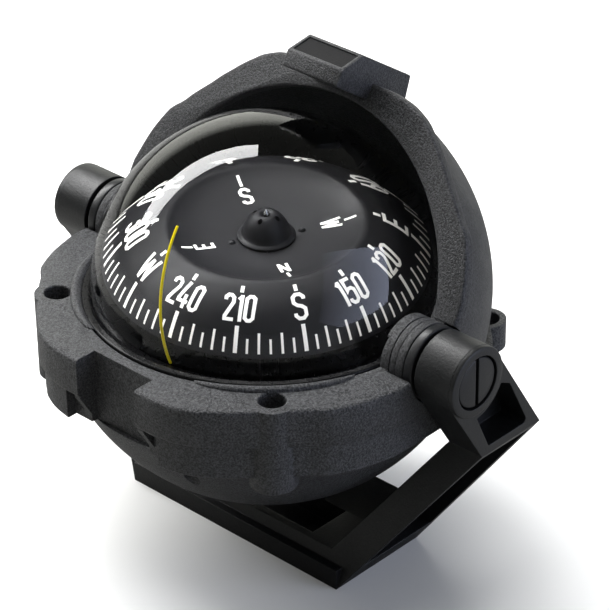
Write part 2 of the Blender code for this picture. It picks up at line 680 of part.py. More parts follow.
def makePost(pivot):
    base = BOWL_FLOOR + FIT
    profile = [(0.0, 0.0080), (POST_STEM_R, 0.0080), (POST_STEM_R, -0.0300), (0.0060, -0.0420),
               (0.0200, base + 0.0030), (0.0200, base), (0.0, base)]
    post = turned("pivot_post", profile, 20, "Z", "smooth_plastic", pivot, closed=False)
    for k in range(3):
        a = math.radians(30 + 120 * k)
        place = (0.0125 * math.cos(a), 0.0125 * math.sin(a))
        cut(post, cylinder("fluid_hole_%d" % k, 0.0025, -0.06, -0.03, place, 16, parent=pivot))
    cut(post, cylinder("pin_bore", PIN_R + FIT, -0.0040, 0.01, steps=16, parent=pivot))
    tip = PIVOT_Z - FIT
    pin = [(0.0, tip), (PIN_R, tip - 0.0030), (PIN_R, -0.0036), (0.0, -0.0036)]
    turned("pivot_pin", pin, 16, "Z", "steel", pivot, closed=False)


def makeCompensator(pivot):
    floor = -math.sqrt((SHELL_R - SHELL_WALL) ** 2 - SHELL_FLOOR_R ** 2) + FIT
    top = floor + 0.0140
    half = 0.0120
    block = box("compensator_block", (-half, -half, floor), (half, half, top), "smooth_plastic", pivot)
    rods = (("athwart", "X", floor + 0.0100), ("fore_aft", "Y", floor + 0.0040))
    for tag, axis, height in rods:
        bore = turned("rod_bore_" + tag, [(0.0, 0.02), (0.0026, 0.02), (0.0026, -0.02), (0.0, -0.02)], 20,
                      parent=pivot, closed=False)
        rod = turned("compensator_rod_" + tag, [(0.0, 0.0150), (0.0022, 0.0150), (0.0022, -0.0150), (0.0, -0.0150)],
                     20, "Z", "brass", pivot, closed=False)
        turn = (0.0, math.pi / 2, 0.0) if axis == "X" else (math.pi / 2, 0.0, 0.0)
        for obj in (bore, rod):
            obj.location = (0.0, 0.0, height)
            obj.rotation_euler = turn
        cut(block, bore)
        slot = box("rod_slot_" + tag, (-0.0004, -0.003, 0.0140), (0.0004, 0.003, 0.017), parent=pivot)
        slot.location = rod.location
        slot.rotation_euler = turn
        cut(rod, slot)


# --- card ------------------------------------------------------------------------------------------

def makeCard(pivot):
    spin = makeEmpty("card_axis", (0.0, 0.0, 0.0), pivot)
    cup = [(0.0, 0.0195), (0.0022, 0.0195), (0.0022, 0.0160), (0.0014, 0.0160), (0.0009, PIVOT_Z), (0.0, PIVOT_Z + FIT)]
    turned("jewel_cup", cup, 16, "Z", "jewel", spin, closed=False)
    setting = [(0.0, 0.0252), (0.0008, 0.0248), (0.0010, 0.0215), (0.0036, 0.0205), (0.0036, 0.0152),
               (0.0025, 0.0152), (0.0025, 0.0198), (0.0, 0.0198)]
    turned("jewel_setting", setting, 20, "Z", "brass", spin, closed=False)
    slope = math.atan2(RIDGE_Z - CARD_RIM_Z, CARD_RIM_R - RIDGE_R)
    nx, nz = CARD_T * math.sin(slope), CARD_T * math.cos(slope)
    top = (RIDGE_R + 0.0010, RIDGE_Z - 0.0006)
    cone = [top, (CARD_RIM_R, CARD_RIM_Z), (CARD_RIM_R - nx, CARD_RIM_Z - nz), (top[0] - nx, top[1] - nz)]
    turned("card_cone", cone, ROUND, "Z", "card_black", spin)
    edge = RIDGE_R - nx
    dish = [(0.0041, DISH_TOP), (0.0240, DISH_TOP), (0.0275, RIDGE_Z - 0.0003), (RIDGE_R - 0.0003, RIDGE_Z - 0.0003),
            (edge, RIDGE_Z - 0.0022), (0.0245, DISH_TOP - CARD_T), (0.0041, DISH_TOP - CARD_T)]
    plate = turned("card_dish", dish, 32, "Z", "card_black", spin)
    flange = DISH_TOP + FIT
    hub = [(0.0016, HUB_TOP), (0.0030, HUB_TOP - 0.0004), (0.0048, 0.0218), (0.0062, 0.0190), (0.0066, flange + 0.0010),
           (HUB_R, flange + 0.0010), (HUB_R, flange), (0.0042, flange), (0.0042, 0.0210), (0.0016, 0.0228)]
    turned("card_hub", hub, 20, "Z", "card_black", spin)
    float_top = DISH_TOP - CARD_T - FIT
    ring = [(0.0090, float_top), (0.0238, float_top), (0.0238, 0.0090), (0.0200, 0.0052), (0.0090, 0.0052)]
    body = turned("card_float", ring, 24, "Z", "card_black", spin)
    turn = Matrix.Rotation(math.radians(CARD_HEADING), 4, "Z")
    for sign, tag in ((1, "right"), (-1, "left")):
        magnet = box("card_magnet_" + tag, (-0.0022, -0.0130, -0.0002), (0.0022, 0.0130, 0.0049), "magnet_grey", spin)
        magnet.matrix_local = turn @ Matrix.Translation((sign * 0.0130, 0.0, 0.0))
        rivet = [(0.0, 0.0166), (0.0013, flange), (0.0009, flange), (0.0009, 0.0125), (0.0, 0.0125)]
        obj = turned("card_rivet_" + tag, rivet, 14, "Z", "steel", spin, closed=False)
        place = turn @ Vector((sign * 0.0102, 0.0, 0.0))
        obj.location = place
        hole = cylinder("rivet_hole_" + tag, 0.0009 + FIT, 0.0120, 0.02, (place.x, place.y), 14, parent=spin)
        cut(plate, hole)
        cut(body, hole)


# --- hood ------------------------------------------------------------------------------------------

def hoodOuter(start, end, step):
    """Outline of the closed hood's rim in (x, y), from one side to the other, angles from the front."""
    points = []
    angle = start
    while (end - angle) * (1 if step > 0 else -1) >= 0:
        r = bezelRadius(angle)
        a = math.radians(angle)
        x = max(-HOOD_SIDE, min(HOOD_SIDE, r * math.sin(a)))
        points.append((x, -r * math.cos(a)))
        angle += step
    return [p for p in points if -p[1] > HOOD_NEAR + 0.0005]


def hoodBand(inner_r, inset):
    """Closed outline between an inner circle and the rim, kept clear of the tilt axis."""
    outer = hoodOuter(-78, 78, 6)
    side = HOOD_SIDE
    inner_x = math.sqrt(inner_r ** 2 - HOOD_NEAR ** 2)
    limit = math.degrees(math.asin(inner_x / inner_r))
    inner = [(inner_r * math.sin(math.radians(a)), -inner_r * math.cos(math.radians(a)))
             for a in [limit - 2 * limit * i / 20 for i in range(21)]]
    return [(-side, -HOOD_NEAR)] + outer + [(side, -HOOD_NEAR)] + inner


def revolvedBand(name, outline, pivot, material=None):
    """The outline turned all the way about the tilt axis."""
    profile = [(-y, x) for x, y in outline]
    return turned(name, profile, ROUND, "X", material, pivot)


def wedge(name, points, pivot):
    """A prism across the whole width; its outline is (y, z) in the closed position."""
    return prism(name, points, -0.12, 0.12, "X", parent=pivot)


def makeHood(compass):
    pivot = makeEmpty("hood_axis", (0.0, 0.0, 0.0), compass)
    pivot.rotation_euler = (-HOOD_OPEN, 0.0, 0.0)
    tail = Matrix.Rotation(HOOD_OPEN, 2)
    low = tail @ Vector((0.0300, HOOD_TAIL_Z))
    far = tail @ Vector((0.1600, HOOD_TAIL_Z))
    hood = revolvedBand("hood", hoodBand(FLAT_DIST - HOOD_WALL, 0.0), pivot, "grained_plastic")
    sweep = [(-0.13, HOOD_GAP), (-0.13, 0.16), tuple(far), tuple(low), (0.0, HOOD_GAP)]
    cut(hood, wedge("hood_sweep", sweep, pivot), "INTERSECT")
    rim = revolvedBand("hood_rim", hoodBand(HOOD_INNER, 0.0), pivot)
    cut(rim, wedge("rim_sweep", [(-0.13, HOOD_GAP), (-0.13, HOOD_GAP + HOOD_RIM_T * 1.5),
                                 (-0.012, HOOD_GAP + HOOD_RIM_T), (-0.012, HOOD_GAP)], pivot), "INTERSECT")
    join(hood, rim)
    for sign, tag in ((1, "right"), (-1, "left")):
        low_x, high_x = sorted((sign * HOOD_RING[0], sign * HOOD_RING[1]))
        ear = box("hood_ear_" + tag, (low_x, -0.0300, HOOD_GAP + 0.0004), (high_x, -0.0080, 0.0125), parent=pivot)
        join(hood, ear)
        join(hood, alongX("hood_ring_" + tag, RING_R, 0.0, HOOD_RING, sign, 32, parent=pivot))
    addGrip(hood, pivot)
    for sign, tag in ((1, "right"), (-1, "left")):
        cut(hood, alongX("hood_bore_" + tag, STUB_R + FIT, 0.0, (0.07, 0.085), sign, 24, parent=pivot))
    return hood


def gripPoint(radius, angle):
    """A point in (y, z) of the closed hood; the angle is from the rim plane, up and back."""
    a = math.radians(angle)
    return -radius * math.cos(a), radius * math.sin(a)


def addGrip(hood, pivot):
    """The grip block: a prong that fills the bezel's notch and a chamfered top with a recessed pad."""
    outline = [gripPoint(0.0830, -13), gripPoint(0.0893, -12), gripPoint(0.0955, -5.5), gripPoint(0.0955, 14),
               gripPoint(0.0860, 17), gripPoint(0.0790, 6)]
    block = prism("grip_block", outline, -GRIP_HALF, GRIP_HALF, "X", parent=pivot)
    join(hood, block)
    a, b = Vector(gripPoint(0.0893, -12)), Vector(gripPoint(0.0955, -5.5))
    facing = (b - a).normalized()
    out = Vector((facing.y, -facing.x))
    if out.x > 0:
        out = -out
    low, high = a + facing * 0.0013, b - facing * 0.0013
    depth = out * -0.0012
    side = GRIP_HALF - 0.0016
    recess = [tuple(low - depth), tuple(high - depth), tuple(high + depth), tuple(low + depth)]
    cut(hood, prism("pad_recess", recess, -side, side, "X", parent=pivot))
    inner, lift = FIT * facing, out * -(0.0012 - FIT)
    pad = [tuple(low + inner), tuple(high - inner), tuple(high - inner + lift), tuple(low + inner + lift)]
    prism("hood_grip_pad", pad, -side + FIT, side - FIT, "X", "rubber", pivot)


def build():
    clearScene()
    makeMaterials()
    makeBracket()
    makePivotScrews()
    compass = makeEmpty("tilt_axis", (0.0, 0.0, AXIS_Z))
    makeHousing(compass)
    makeLowerShell(compass)
    makeCapsule(compass)
    makePost(compass)
    makeCompensator(compass)
    makeCard(compass)
    makeHood(compass)


build()
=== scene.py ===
import json
import math
import bmesh
import bpy
from mathutils import Matrix, Vector


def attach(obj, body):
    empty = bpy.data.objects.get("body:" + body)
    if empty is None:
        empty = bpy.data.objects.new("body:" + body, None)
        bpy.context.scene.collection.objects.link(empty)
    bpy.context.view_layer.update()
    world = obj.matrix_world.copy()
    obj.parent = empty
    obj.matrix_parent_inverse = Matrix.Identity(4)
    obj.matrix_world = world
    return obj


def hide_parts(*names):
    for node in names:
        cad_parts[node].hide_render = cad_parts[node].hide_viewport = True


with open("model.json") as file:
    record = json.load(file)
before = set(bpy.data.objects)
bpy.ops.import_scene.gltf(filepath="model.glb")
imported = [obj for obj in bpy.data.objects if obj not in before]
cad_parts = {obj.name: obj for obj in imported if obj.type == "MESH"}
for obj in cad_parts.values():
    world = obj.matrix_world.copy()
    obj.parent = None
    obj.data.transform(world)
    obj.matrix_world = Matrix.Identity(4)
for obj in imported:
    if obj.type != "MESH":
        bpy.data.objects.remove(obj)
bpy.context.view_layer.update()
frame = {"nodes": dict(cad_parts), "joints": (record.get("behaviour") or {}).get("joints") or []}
joints = {joint["name"]: joint for joint in frame["joints"]}
axisZ = joints["tilt"]["pos_m"][2]      # height of the tilt axis, which runs through the dome's centre
print("frame loaded:", len(frame["nodes"]), "nodes")


def toWorld(p):
    # shapes are given in mm from the dome's centre
    return Vector((p[0] / 1000, p[1] / 1000, p[2] / 1000 + axisZ))


def newPiece(name, points, faces):
    bm = bmesh.new()
    verts = [bm.verts.new(toWorld(p)) for p in points]
    for face in faces:
        if len(set(face)) > 2:
            bm.faces.new([verts[i] for i in dict.fromkeys(face)])
    bmesh.ops.remove_doubles(bm, verts=bm.verts, dist=1e-6)
    bmesh.ops.dissolve_degenerate(bm, dist=1e-6, edges=bm.edges)
    bmesh.ops.recalc_face_normals(bm, faces=bm.faces)
    mesh = bpy.data.meshes.new(name)
    bm.to_mesh(mesh)
    bm.free()
    obj = bpy.data.objects.new(name, mesh)
    bpy.context.scene.collection.objects.link(obj)
    return obj


def loftLoops(name, loops):
    # loops of equal length, one after the other, make a skin; the ends are capped
    count = len(loops[0])
    last = (len(loops) - 1) * count
    points = [p for loop in loops for p in loop]
    faces = []
    for a in range(0, last, count):
        b = a + count
        for i in range(count):
            k = (i + 1) % count
            faces.append((a + i, a + k, b + k, b + i))
    faces.append(tuple(range(count)))
    faces.append(tuple(range(last, last + count)))
    return newPiece(name, points, faces)


def turnProfile(name, profile, steps=128, axis="z", closed=False, at=(0, 0)):
    # profile points are (radius, height); an open profile starts and ends on the axis
    points, rings = [], []
    for r, h in profile:
        ring = []
        for i in range(1 if r < 1e-6 else steps):
            a = 2 * math.pi * i / steps
            u, v = r * math.cos(a), r * math.sin(a)
            points.append((at[0] + u, at[1] + v, h) if axis == "z" else (h, u, v))
            ring.append(len(points) - 1)
        rings.append(ring * (steps if len(ring) == 1 else 1))
    faces = []
    pairs = list(zip(rings, rings[1:])) + ([(rings[-1], rings[0])] if closed else [])
    for a, b in pairs:
        for i in range(steps):
            k = (i + 1) % steps
            faces.append((a[i], a[k], b[k], b[i]))
    return newPiece(name, points, faces)


def roundCorners(points, radii, steps):
    # a closed flat outline with its corners rounded, one radius for each
    out = []
    straight = 1.5          # half the corner's angle, beyond which it is left alone
    share = 0.48            # how much of a side one corner may use
    for i, (p, r) in enumerate(zip(points, radii)):
        p = Vector(p)
        a, b = Vector(points[i - 1]) - p, Vector(points[(i + 1) % len(points)]) - p
        room = min(a.length, b.length) * share
        a.normalize()
        b.normalize()
        half = math.acos(max(-1, min(1, a.dot(b)))) / 2
        if r <= 0 or half > straight:
            out.append(tuple(points[i]))
            continue
        reach = min(r / math.tan(half), room)
        r = reach * math.tan(half)
        centre = p + (a + b).normalized() * (r / math.sin(half))
        start, end = p + a * reach - centre, p + b * reach - centre
        turn = start.angle_signed(end)
        for k in range(steps + 1):
            t = turn * k / steps
            c, s = math.cos(-t), math.sin(-t)
            out.append((centre.x + start.x * c - start.y * s, centre.y + start.x * s + start.y * c))
    return out


def arcPoints(radius, start, end, count):
    turns = [math.radians(start + (end - start) * i / count) for i in range(count + 1)]
    return [(radius * math.cos(a), radius * math.sin(a)) for a in turns]


def slab(name, outline, low, high, axis="z"):
    # a flat outline given thickness: (x, y) for z, (y, z) for x
    if axis == "z":
        loops = [[(a, b, level) for a, b in outline] for level in (low, high)]
    else:
        loops = [[(level, a, b) for a, b in outline] for level in (low, high)]
    return loftLoops(name, loops)


def block(name, low, high):
    outline = [(low[0], low[1]), (high[0], low[1]), (high[0], high[1]), (low[0], high[1])]
    return slab(name, outline, low[2], high[2])


def combine(obj, others, how="DIFFERENCE"):
    # one Boolean with all the shapes, applied
    group = bpy.data.collections.new("shapes")
    bpy.context.scene.collection.children.link(group)
    for other in others:
        bpy.context.scene.collection.objects.unlink(other)
        group.objects.link(other)
    modifier = obj.modifiers.new("combine", "BOOLEAN")
    modifier.operand_type = "COLLECTION"
    modifier.operation = how
    modifier.solver = "EXACT"
    modifier.collection = group
    settle(obj)
    for other in others:
        bpy.data.objects.remove(other)
    bpy.data.collections.remove(group)
    return obj


def settle(obj):
    # modifiers made real, so the piece is a plain mesh
    graph = bpy.context.evaluated_depsgraph_get()
    mesh = bpy.data.meshes.new_from_object(obj.evaluated_get(graph))
    old = obj.data
    obj.modifiers.clear()
    obj.data = mesh
    bm = bmesh.new()
    bm.from_mesh(mesh)
    bmesh.ops.remove_doubles(bm, verts=bm.verts, dist=2e-6)
    bm.to_mesh(mesh)
    bm.free()
    if old.users == 0:
        bpy.data.meshes.remove(old)
    return obj


def joinPieces(name, pieces):
    # separate shells kept in one mesh
    bm = bmesh.new()
    for piece in pieces:
        bm.from_mesh(piece.data)
    mesh = bpy.data.meshes.new(name)
    bm.to_mesh(mesh)
    bm.free()
    for piece in pieces:
        bpy.data.objects.remove(piece)
    obj = bpy.data.objects.new(name, mesh)
    bpy.context.scene.collection.objects.link(obj)
    return obj


def finishPiece(obj, material, body, replaces=(), sharp=32):
    obj.data.materials.clear()
    obj.data.materials.append(material)
    obj.data.shade_smooth()
    obj.data.set_sharp_from_angle(angle=math.radians(sharp))
    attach(obj, body)
    if replaces:
        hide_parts(*replaces)


def hexColour(text):
    # sRGB hex to linear
    values = [int(text[i:i + 2], 16) / 255 for i in (0, 2, 4)]
    return tuple(v / 12.92 if v <= 0.04045 else ((v + 0.055) / 1.055) ** 2.4 for v in values) + (1.0,)


def addNode(tree, kind, settings=None, **links):
    # links are socket name = value or output socket; i0 is the first socket, underscores stand for spaces
    node = tree.nodes.new(kind)
    for key, value in (settings or {}).items():
        setattr(node, key, value)
    for key, value in links.items():
        byPlace = key[0] == "i" and key[1:].isdigit()
        socket = node.inputs[int(key[1:]) if byPlace else key.replace("_", " ")]
        if isinstance(value, bpy.types.NodeSocket):
            tree.links.new(value, socket)
        else:
            socket.default_value = value
    return node


def newMaterial(name):
    material = bpy.data.materials.new(name)
    material.use_nodes = True
    tree = material.node_tree
    tree.nodes.clear()
    return material, tree


def mouldedPlastic(name, dark, light, grainMm, grainDepth, rough, edgeHighlight=0.25):
    # moulded thermoplastic: spark-eroded grain, slow gloss changes, and a painted highlight that makes the
    # edges a little lighter in patches
    material, tree = newMaterial(name)
    place = addNode(tree, "ShaderNodeTexCoord").outputs["Object"]
    grain = addNode(tree, "ShaderNodeTexNoise", Vector=place, Scale=1000 / grainMm, Detail=3.0,
                    Roughness=0.65)
    blotch = addNode(tree, "ShaderNodeTexNoise", Vector=place, Scale=55.0, Detail=4.0, Roughness=0.6)
    soft = addNode(tree, "ShaderNodeBevel", {"samples": 4}, Radius=0.0006)
    geometry = addNode(tree, "ShaderNodeNewGeometry")
    match = addNode(tree, "ShaderNodeVectorMath", {"operation": "DOT_PRODUCT"}, i0=soft.outputs[0],
                    i1=geometry.outputs["Normal"])
    # painted highlight: where the rounded normal parts from the true one, the edge is mixed towards a light
    # grey, in patches
    edge = addNode(tree, "ShaderNodeMapRange", i0=match.outputs["Value"], i1=0.995, i2=0.80, i3=0.0, i4=edgeHighlight)
    highlightPatches = addNode(tree, "ShaderNodeMath", {"operation": "MULTIPLY"}, i0=edge.outputs[0],
                   i1=blotch.outputs[0])
    speck = addNode(tree, "ShaderNodeMapRange", i0=grain.outputs[0], i1=0.38, i2=0.72, i3=0.0, i4=1.0)
    mixed = addNode(tree, "ShaderNodeMix", {"data_type": "RGBA"}, i0=speck.outputs[0], i6=hexColour(dark),
                    i7=hexColour(light))
    # painted highlight on the edges, light grey 8A8C8E
    withEdgeHighlight = addNode(tree, "ShaderNodeMix", {"data_type": "RGBA"}, i0=highlightPatches.outputs[0], i6=mixed.outputs[2],
                     i7=hexColour("8A8C8E"))
    gloss = addNode(tree, "ShaderNodeMapRange", i0=blotch.outputs[0], i1=0.3, i2=0.7, i3=rough - 0.06,
                    i4=rough + 0.07)
    bump = addNode(tree, "ShaderNodeBump", Strength=1.0, Distance=grainDepth, Height=grain.outputs[0],
                   Normal=soft.outputs[0])
    shader = addNode(tree, "ShaderNodeBsdfPrincipled", Base_Color=withEdgeHighlight.outputs[2],
                     Roughness=gloss.outputs[0], Normal=bump.outputs[0], IOR=1.5)
    addNode(tree, "ShaderNodeOutputMaterial", Surface=shader.outputs[0])
    return material


def paintedSurface(name, colour, rough, noiseMm=0.8, depth=0.00001, metallic=0.0, spec=0.5):
    # a thin even coat or a machined surface with a faint texture
    material, tree = newMaterial(name)
    place = addNode(tree, "ShaderNodeTexCoord").outputs["Object"]
    grain = addNode(tree, "ShaderNodeTexNoise", Vector=place, Scale=1000 / noiseMm, Detail=2.0)
    gloss = addNode(tree, "ShaderNodeMapRange", i0=grain.outputs[0], i1=0.3, i2=0.7, i3=rough - 0.05,
                    i4=rough + 0.05)
    bump = addNode(tree, "ShaderNodeBump", Strength=1.0, Distance=depth, Height=grain.outputs[0])
    tone = addNode(tree, "ShaderNodeMapRange", i0=grain.outputs[0], i1=0.3, i2=0.7, i3=0.97, i4=1.02)
    tint = addNode(tree, "ShaderNodeVectorMath", {"operation": "SCALE"}, i0=hexColour(colour)[:3],
                   Scale=tone.outputs[0])
    shader = addNode(tree, "ShaderNodeBsdfPrincipled", Base_Color=tint.outputs[0], Roughness=gloss.outputs[0],
                     Normal=bump.outputs[0])
    shader.inputs["Metallic"].default_value = metallic
    shader.inputs["Specular IOR Level"].default_value = spec
    addNode(tree, "ShaderNodeOutputMaterial", Surface=shader.outputs[0])
    return material


def clearFilling(name):
    # acrylic dome full of damping fluid, one index for both; shadow rays pass, so the card is lit
    material, tree = newMaterial(name)
    shader = addNode(tree, "ShaderNodeBsdfPrincipled", IOR=1.4, Roughness=0.0)
    shader.inputs["Base Color"].default_value = hexColour("FBFCFD")
    shader.inputs["Transmission Weight"].default_value = 1.0
    clear = addNode(tree, "ShaderNodeBsdfTransparent")
    path = addNode(tree, "ShaderNodeLightPath")
    mix = addNode(tree, "ShaderNodeMixShader", i0=path.outputs["Is Shadow Ray"], i1=shader.outputs[0],
                  i2=clear.outputs[0])
    addNode(tree, "ShaderNodeOutputMaterial", Surface=mix.outputs[0])
    return material


housingPlastic = mouldedPlastic("housingPlastic", "121214", "58595B", 0.75, 0.00060, 0.44)
hoodPlastic = mouldedPlastic("hoodPlastic", "131315", "4C4D4F", 0.75, 0.00045, 0.45)
bracketPlastic = mouldedPlastic("bracketPlastic", "0E0F10", "1C1D1E", 0.8, 0.00010, 0.40, edgeHighlight=0.12)
screwPlastic = mouldedPlastic("screwPlastic", "101113", "1B1C1E", 0.8, 0.00006, 0.36, edgeHighlight=0.10)
innerBlack = paintedSurface("innerBlack", "060607", 0.30, spec=0.3)
padBlack = paintedSurface("padBlack", "0A0A0C", 0.55, 0.5, 0.00003, spec=0.2)
cardBlack = paintedSurface("cardBlack", "19191B", 0.42, 0.35, 0.000004, spec=0.16)   # wetted by the fluid
whiteInk = paintedSurface("whiteInk", "F4F2EC", 0.6, 0.5, spec=0.1)
yellowEnamel = paintedSurface("yellowEnamel", "F2DC00", 0.35)
blackRubber = mouldedPlastic("blackRubber", "0C0C0D", "151516", 0.4, 0.00005, 0.62, edgeHighlight=0.05)
stainless = paintedSurface("stainless", "C6C7C8", 0.24, 0.3, 0.000004, 1.0)
machinedBrass = paintedSurface("machinedBrass", "C9A25A", 0.28, 0.3, 0.000004, 1.0)
magnetGrey = paintedSurface("magnetGrey", "6E6F72", 0.38, 0.5, 0.00001, 1.0)
rubyJewel = paintedSurface("rubyJewel", "7A1422", 0.12)
domeClear = clearFilling("domeClear")
print("materials made")


bezel = {
    "top": -1.1,
    "lobes": ((0, 86.6), (10, 87.0), (16, 89.0), (22, 90.4), (27, 90.5), (31, 89.7), (38, 88.3), (45, 87.6),
              (53, 88.2), (59, 90.1), (66, 89.8), (72, 89.0), (80, 88.6), (90, 88.0)),
    "easedFrom": (27, 38, 45, 53),          # angles from which the radius changes in an eased way
    "halfWidth": 86.2, "stepAt": -17.0, "step": 2.0, "bottom": -31.0, "wall": 3.0,
    "bore": 71.3, "bowlBore": 68.1, "rearTop": -22.3,
    "frontHole": (56.6, -56.6, 9.0, -37.0), "rearHole": (54.3, 65.5, 7.8, -35.0), "holeRadius": 5.1,
    "notchHalf": 15.2, "notchBack": 76.2, "notchRoom": 18.2, "finX": 19.5, "finHalf": 4.5, "ringRoom": 15.0,
    "postAngles": (20, 160, 200, 340), "postRing": 71, "postRadius": 3.8, "postBore": 1.9, "outside": 87.65,
}


def earPlaces():
    # the four mounting holes: x, y, the boss's radius and its lower end
    ears = (bezel["frontHole"], bezel["rearHole"])
    return [(side * x, y, radius, low) for x, y, radius, low in ears for side in (-1, 1)]


def postPlaces():
    # the four posts that the shell's screws go into: x, y
    turns = [math.radians(angle) for angle in bezel["postAngles"]]
    return [(bezel["postRing"] * math.sin(a), -bezel["postRing"] * math.cos(a)) for a in turns]


def lobeRadius(angle, inset=0.0):
    # outer radius of the bezel at an angle from the front, in degrees
    a = abs((angle + 180) % 360 - 180)
    a = a if a <= 90 else 180 - a
    table = bezel["lobes"]
    for (a0, r0), (a1, r1) in zip(table, table[1:]):
        if a <= a1:
            t = (a - a0) / (a1 - a0)
            eased = t * t * (3 - 2 * t) if a0 in bezel["easedFrom"] else t
            r = r0 + (r1 - r0) * eased
            break
    side = abs(math.sin(math.radians(angle)))
    return min(r - inset, (bezel["halfWidth"] - inset) / side if side > 0.5 else 999)


def lobeLoop(inset, z):
    count = 240
    loop = []
    for i in range(count):
        angle = 360 * i / count
        r = lobeRadius(angle, inset)
        a = math.radians(angle)
        loop.append((r * math.sin(a), -r * math.cos(a), z))
    return loop


def makeHousing():
    b = bezel
    top, step, low = b["top"], b["stepAt"], b["bottom"]
    skirt = [(2.0, top), (1.2, top - 0.12), (0.6, top - 0.4), (0.2, top - 0.9), (0.0, top - 1.6),
             (0.0, step + 0.9), (0.25, step + 0.35), (0.7, step + 0.05), (1.1, step), (2.0, step - 0.1),
             (2.0, low + 0.6), (2.4, low)]
    body = loftLoops("bezelHousing", [lobeLoop(inset, z) for inset, z in skirt])
    wallIn = b["bore"] + b["wall"] + 1.2
    wallOut = b["outside"] - b["step"] - b["wall"]
    rearRoof = b["rearTop"] - b["wall"]
    bore = [(0, 10), (b["bore"] + 0.6, 10), (b["bore"] + 0.6, top), (b["bore"] + 0.25, top - 0.25),
            (b["bore"], top - 0.7), (b["bore"], -11.8), (b["bowlBore"], -11.8), (b["bowlBore"], -60),
            (0, -60)]
    under = [(60, rearRoof), (wallOut, rearRoof), (wallOut, -50), (60, -50)]
    hollows = [turnProfile("bore", bore, 180), turnProfile("under", under, 180, closed=True)]
    frontRoom = [(wallIn, -4.6), (wallOut + 0.5, -4.6), (wallOut + 0.5, rearRoof - 1), (wallIn, rearRoof - 1)]
    front = turnProfile("front", frontRoom, 180, closed=True)
    hollows.append(combine(front, [block("frontEnd", (-100, -2, -60), (100, 100, 20))]))
    rear = block("rear", (-110, 0.7, b["rearTop"]), (110, 120, 30))
    keep = [(0, 40), (75.9, 40), (75.9, -40), (0, -40)]
    hollows.append(combine(rear, [turnProfile("keep", keep, 180)]))
    room = b["ringRoom"]
    rooms = [(0, 95), (room, 95), (room, 74), (1, 74), (1, -74), (room, -74), (room, -95), (0, -95)]
    hollows.append(turnProfile("rooms", rooms, 64, "x"))
    combine(body, hollows)
    adds = []
    for x, y, radius, foot in earPlaces():
        high = top - 0.25 if y < 0 else b["rearTop"] - 0.2
        column = [(0, high), (radius, high), (radius, foot + 0.8), (radius - 0.8, foot), (0, foot)]
        adds.append(turnProfile("column", column, 56, at=(x, y)))
    post = [(0, -14), (b["postRadius"], -14), (b["postRadius"], -33), (0, -33)]
    for place in postPlaces():
        adds.append(turnProfile("post", post, 28, at=place))
    ends = [(0, 85.1), (6.5, 85.1), (6.5, 74.3), (14.2, 74.3), (14.2, 70.2), (1, 70.2)]
    adds.append(turnProfile("trunnions", ends + [(r, -x) for r, x in ends[::-1]], 64, "x"))
    liner = [(-73.2, top - 3.0), (-84.6, top - 3.0), (-84.6, -18.5), (-77.2, low), (-73.2, low)]
    finRooms = []
    for side in (-1, 1):
        near, far = side * b["finX"] - b["finHalf"], side * b["finX"] + b["finHalf"]
        finRooms.append(block("finRoom", (near, -110, -60), (far, -79.1, -18.4)))
    combine(body, finRooms)
    adds.append(block("notchWall", (-25.5, -79.3, low + 0.2), (25.5, -73.4, top - 3.2)))
    adds.append(slab("notchLiner", liner, -b["notchRoom"], b["notchRoom"], "x"))
    combine(body, adds, "UNION")
    screwBore = [(0, 95), (4.3, 95), (4.3, -95), (0, -95)]
    holes = [turnProfile("bore", bore, 180), turnProfile("screwBore", screwBore, 40, "x"),
             block("notch", (-b["notchHalf"], -110, -60), (b["notchHalf"], -b["notchBack"], 10))]
    r = b["holeRadius"]
    for x, y, radius, foot in earPlaces():
        high = top if y < 0 else b["rearTop"]
        hole = [(0, high + 8), (r + 0.4, high + 8), (r + 0.4, high), (r, high - 0.5), (r, -60), (0, -60)]
        holes.append(turnProfile("hole", hole, 40, at=(x, y)))
    postBore = [(0, -22), (b["postBore"], -22), (b["postBore"], -60), (0, -60)]
    for place in postPlaces():
        holes.append(turnProfile("postBore", postBore, 20, at=place))
    combine(body, holes)
    finishPiece(body, housingPlastic, "compass", ["bezel_housing"])


def makeCrescent(name, side):
    # raised lip round the finger scallop at the bezel's inner edge
    loops = []
    steps = 60
    for i in range(steps + 1):
        t = -1 + 2 * i / steps          # from one tip to the other
        a = math.radians(side * (46 + 24 * t))
        swell = max(0.0, 1 - abs(t) ** 2.6) ** 0.5
        inner, outer = 71.0, 71.9 + 3.4 * swell
        height = 0.25 + 1.55 * swell
        section = [(inner, -2.0), (inner, 0.15 * height), (inner + 0.35 * (outer - inner), 0.75 * height),
                   (inner + 0.62 * (outer - inner), height), (outer - 0.12 * (outer - inner), 0.72 * height),
                   (outer, 0.1), (outer, -2.0)]
        loops.append([(r * math.sin(a), -r * math.cos(a), bezel["top"] + z) for r, z in section])
    return loftLoops(name, loops)


makeHousing()
lips = joinPieces("bezelLips", [makeCrescent("lip", -1), makeCrescent("lip", 1)])
finishPiece(lips, housingPlastic, "compass", sharp=60)
print("housing made")


shell = {"radius": 84.0, "wall": 2.5, "top": -31.3, "lip": -26.1, "earGap": 0.5, "screwHead": 3.2}


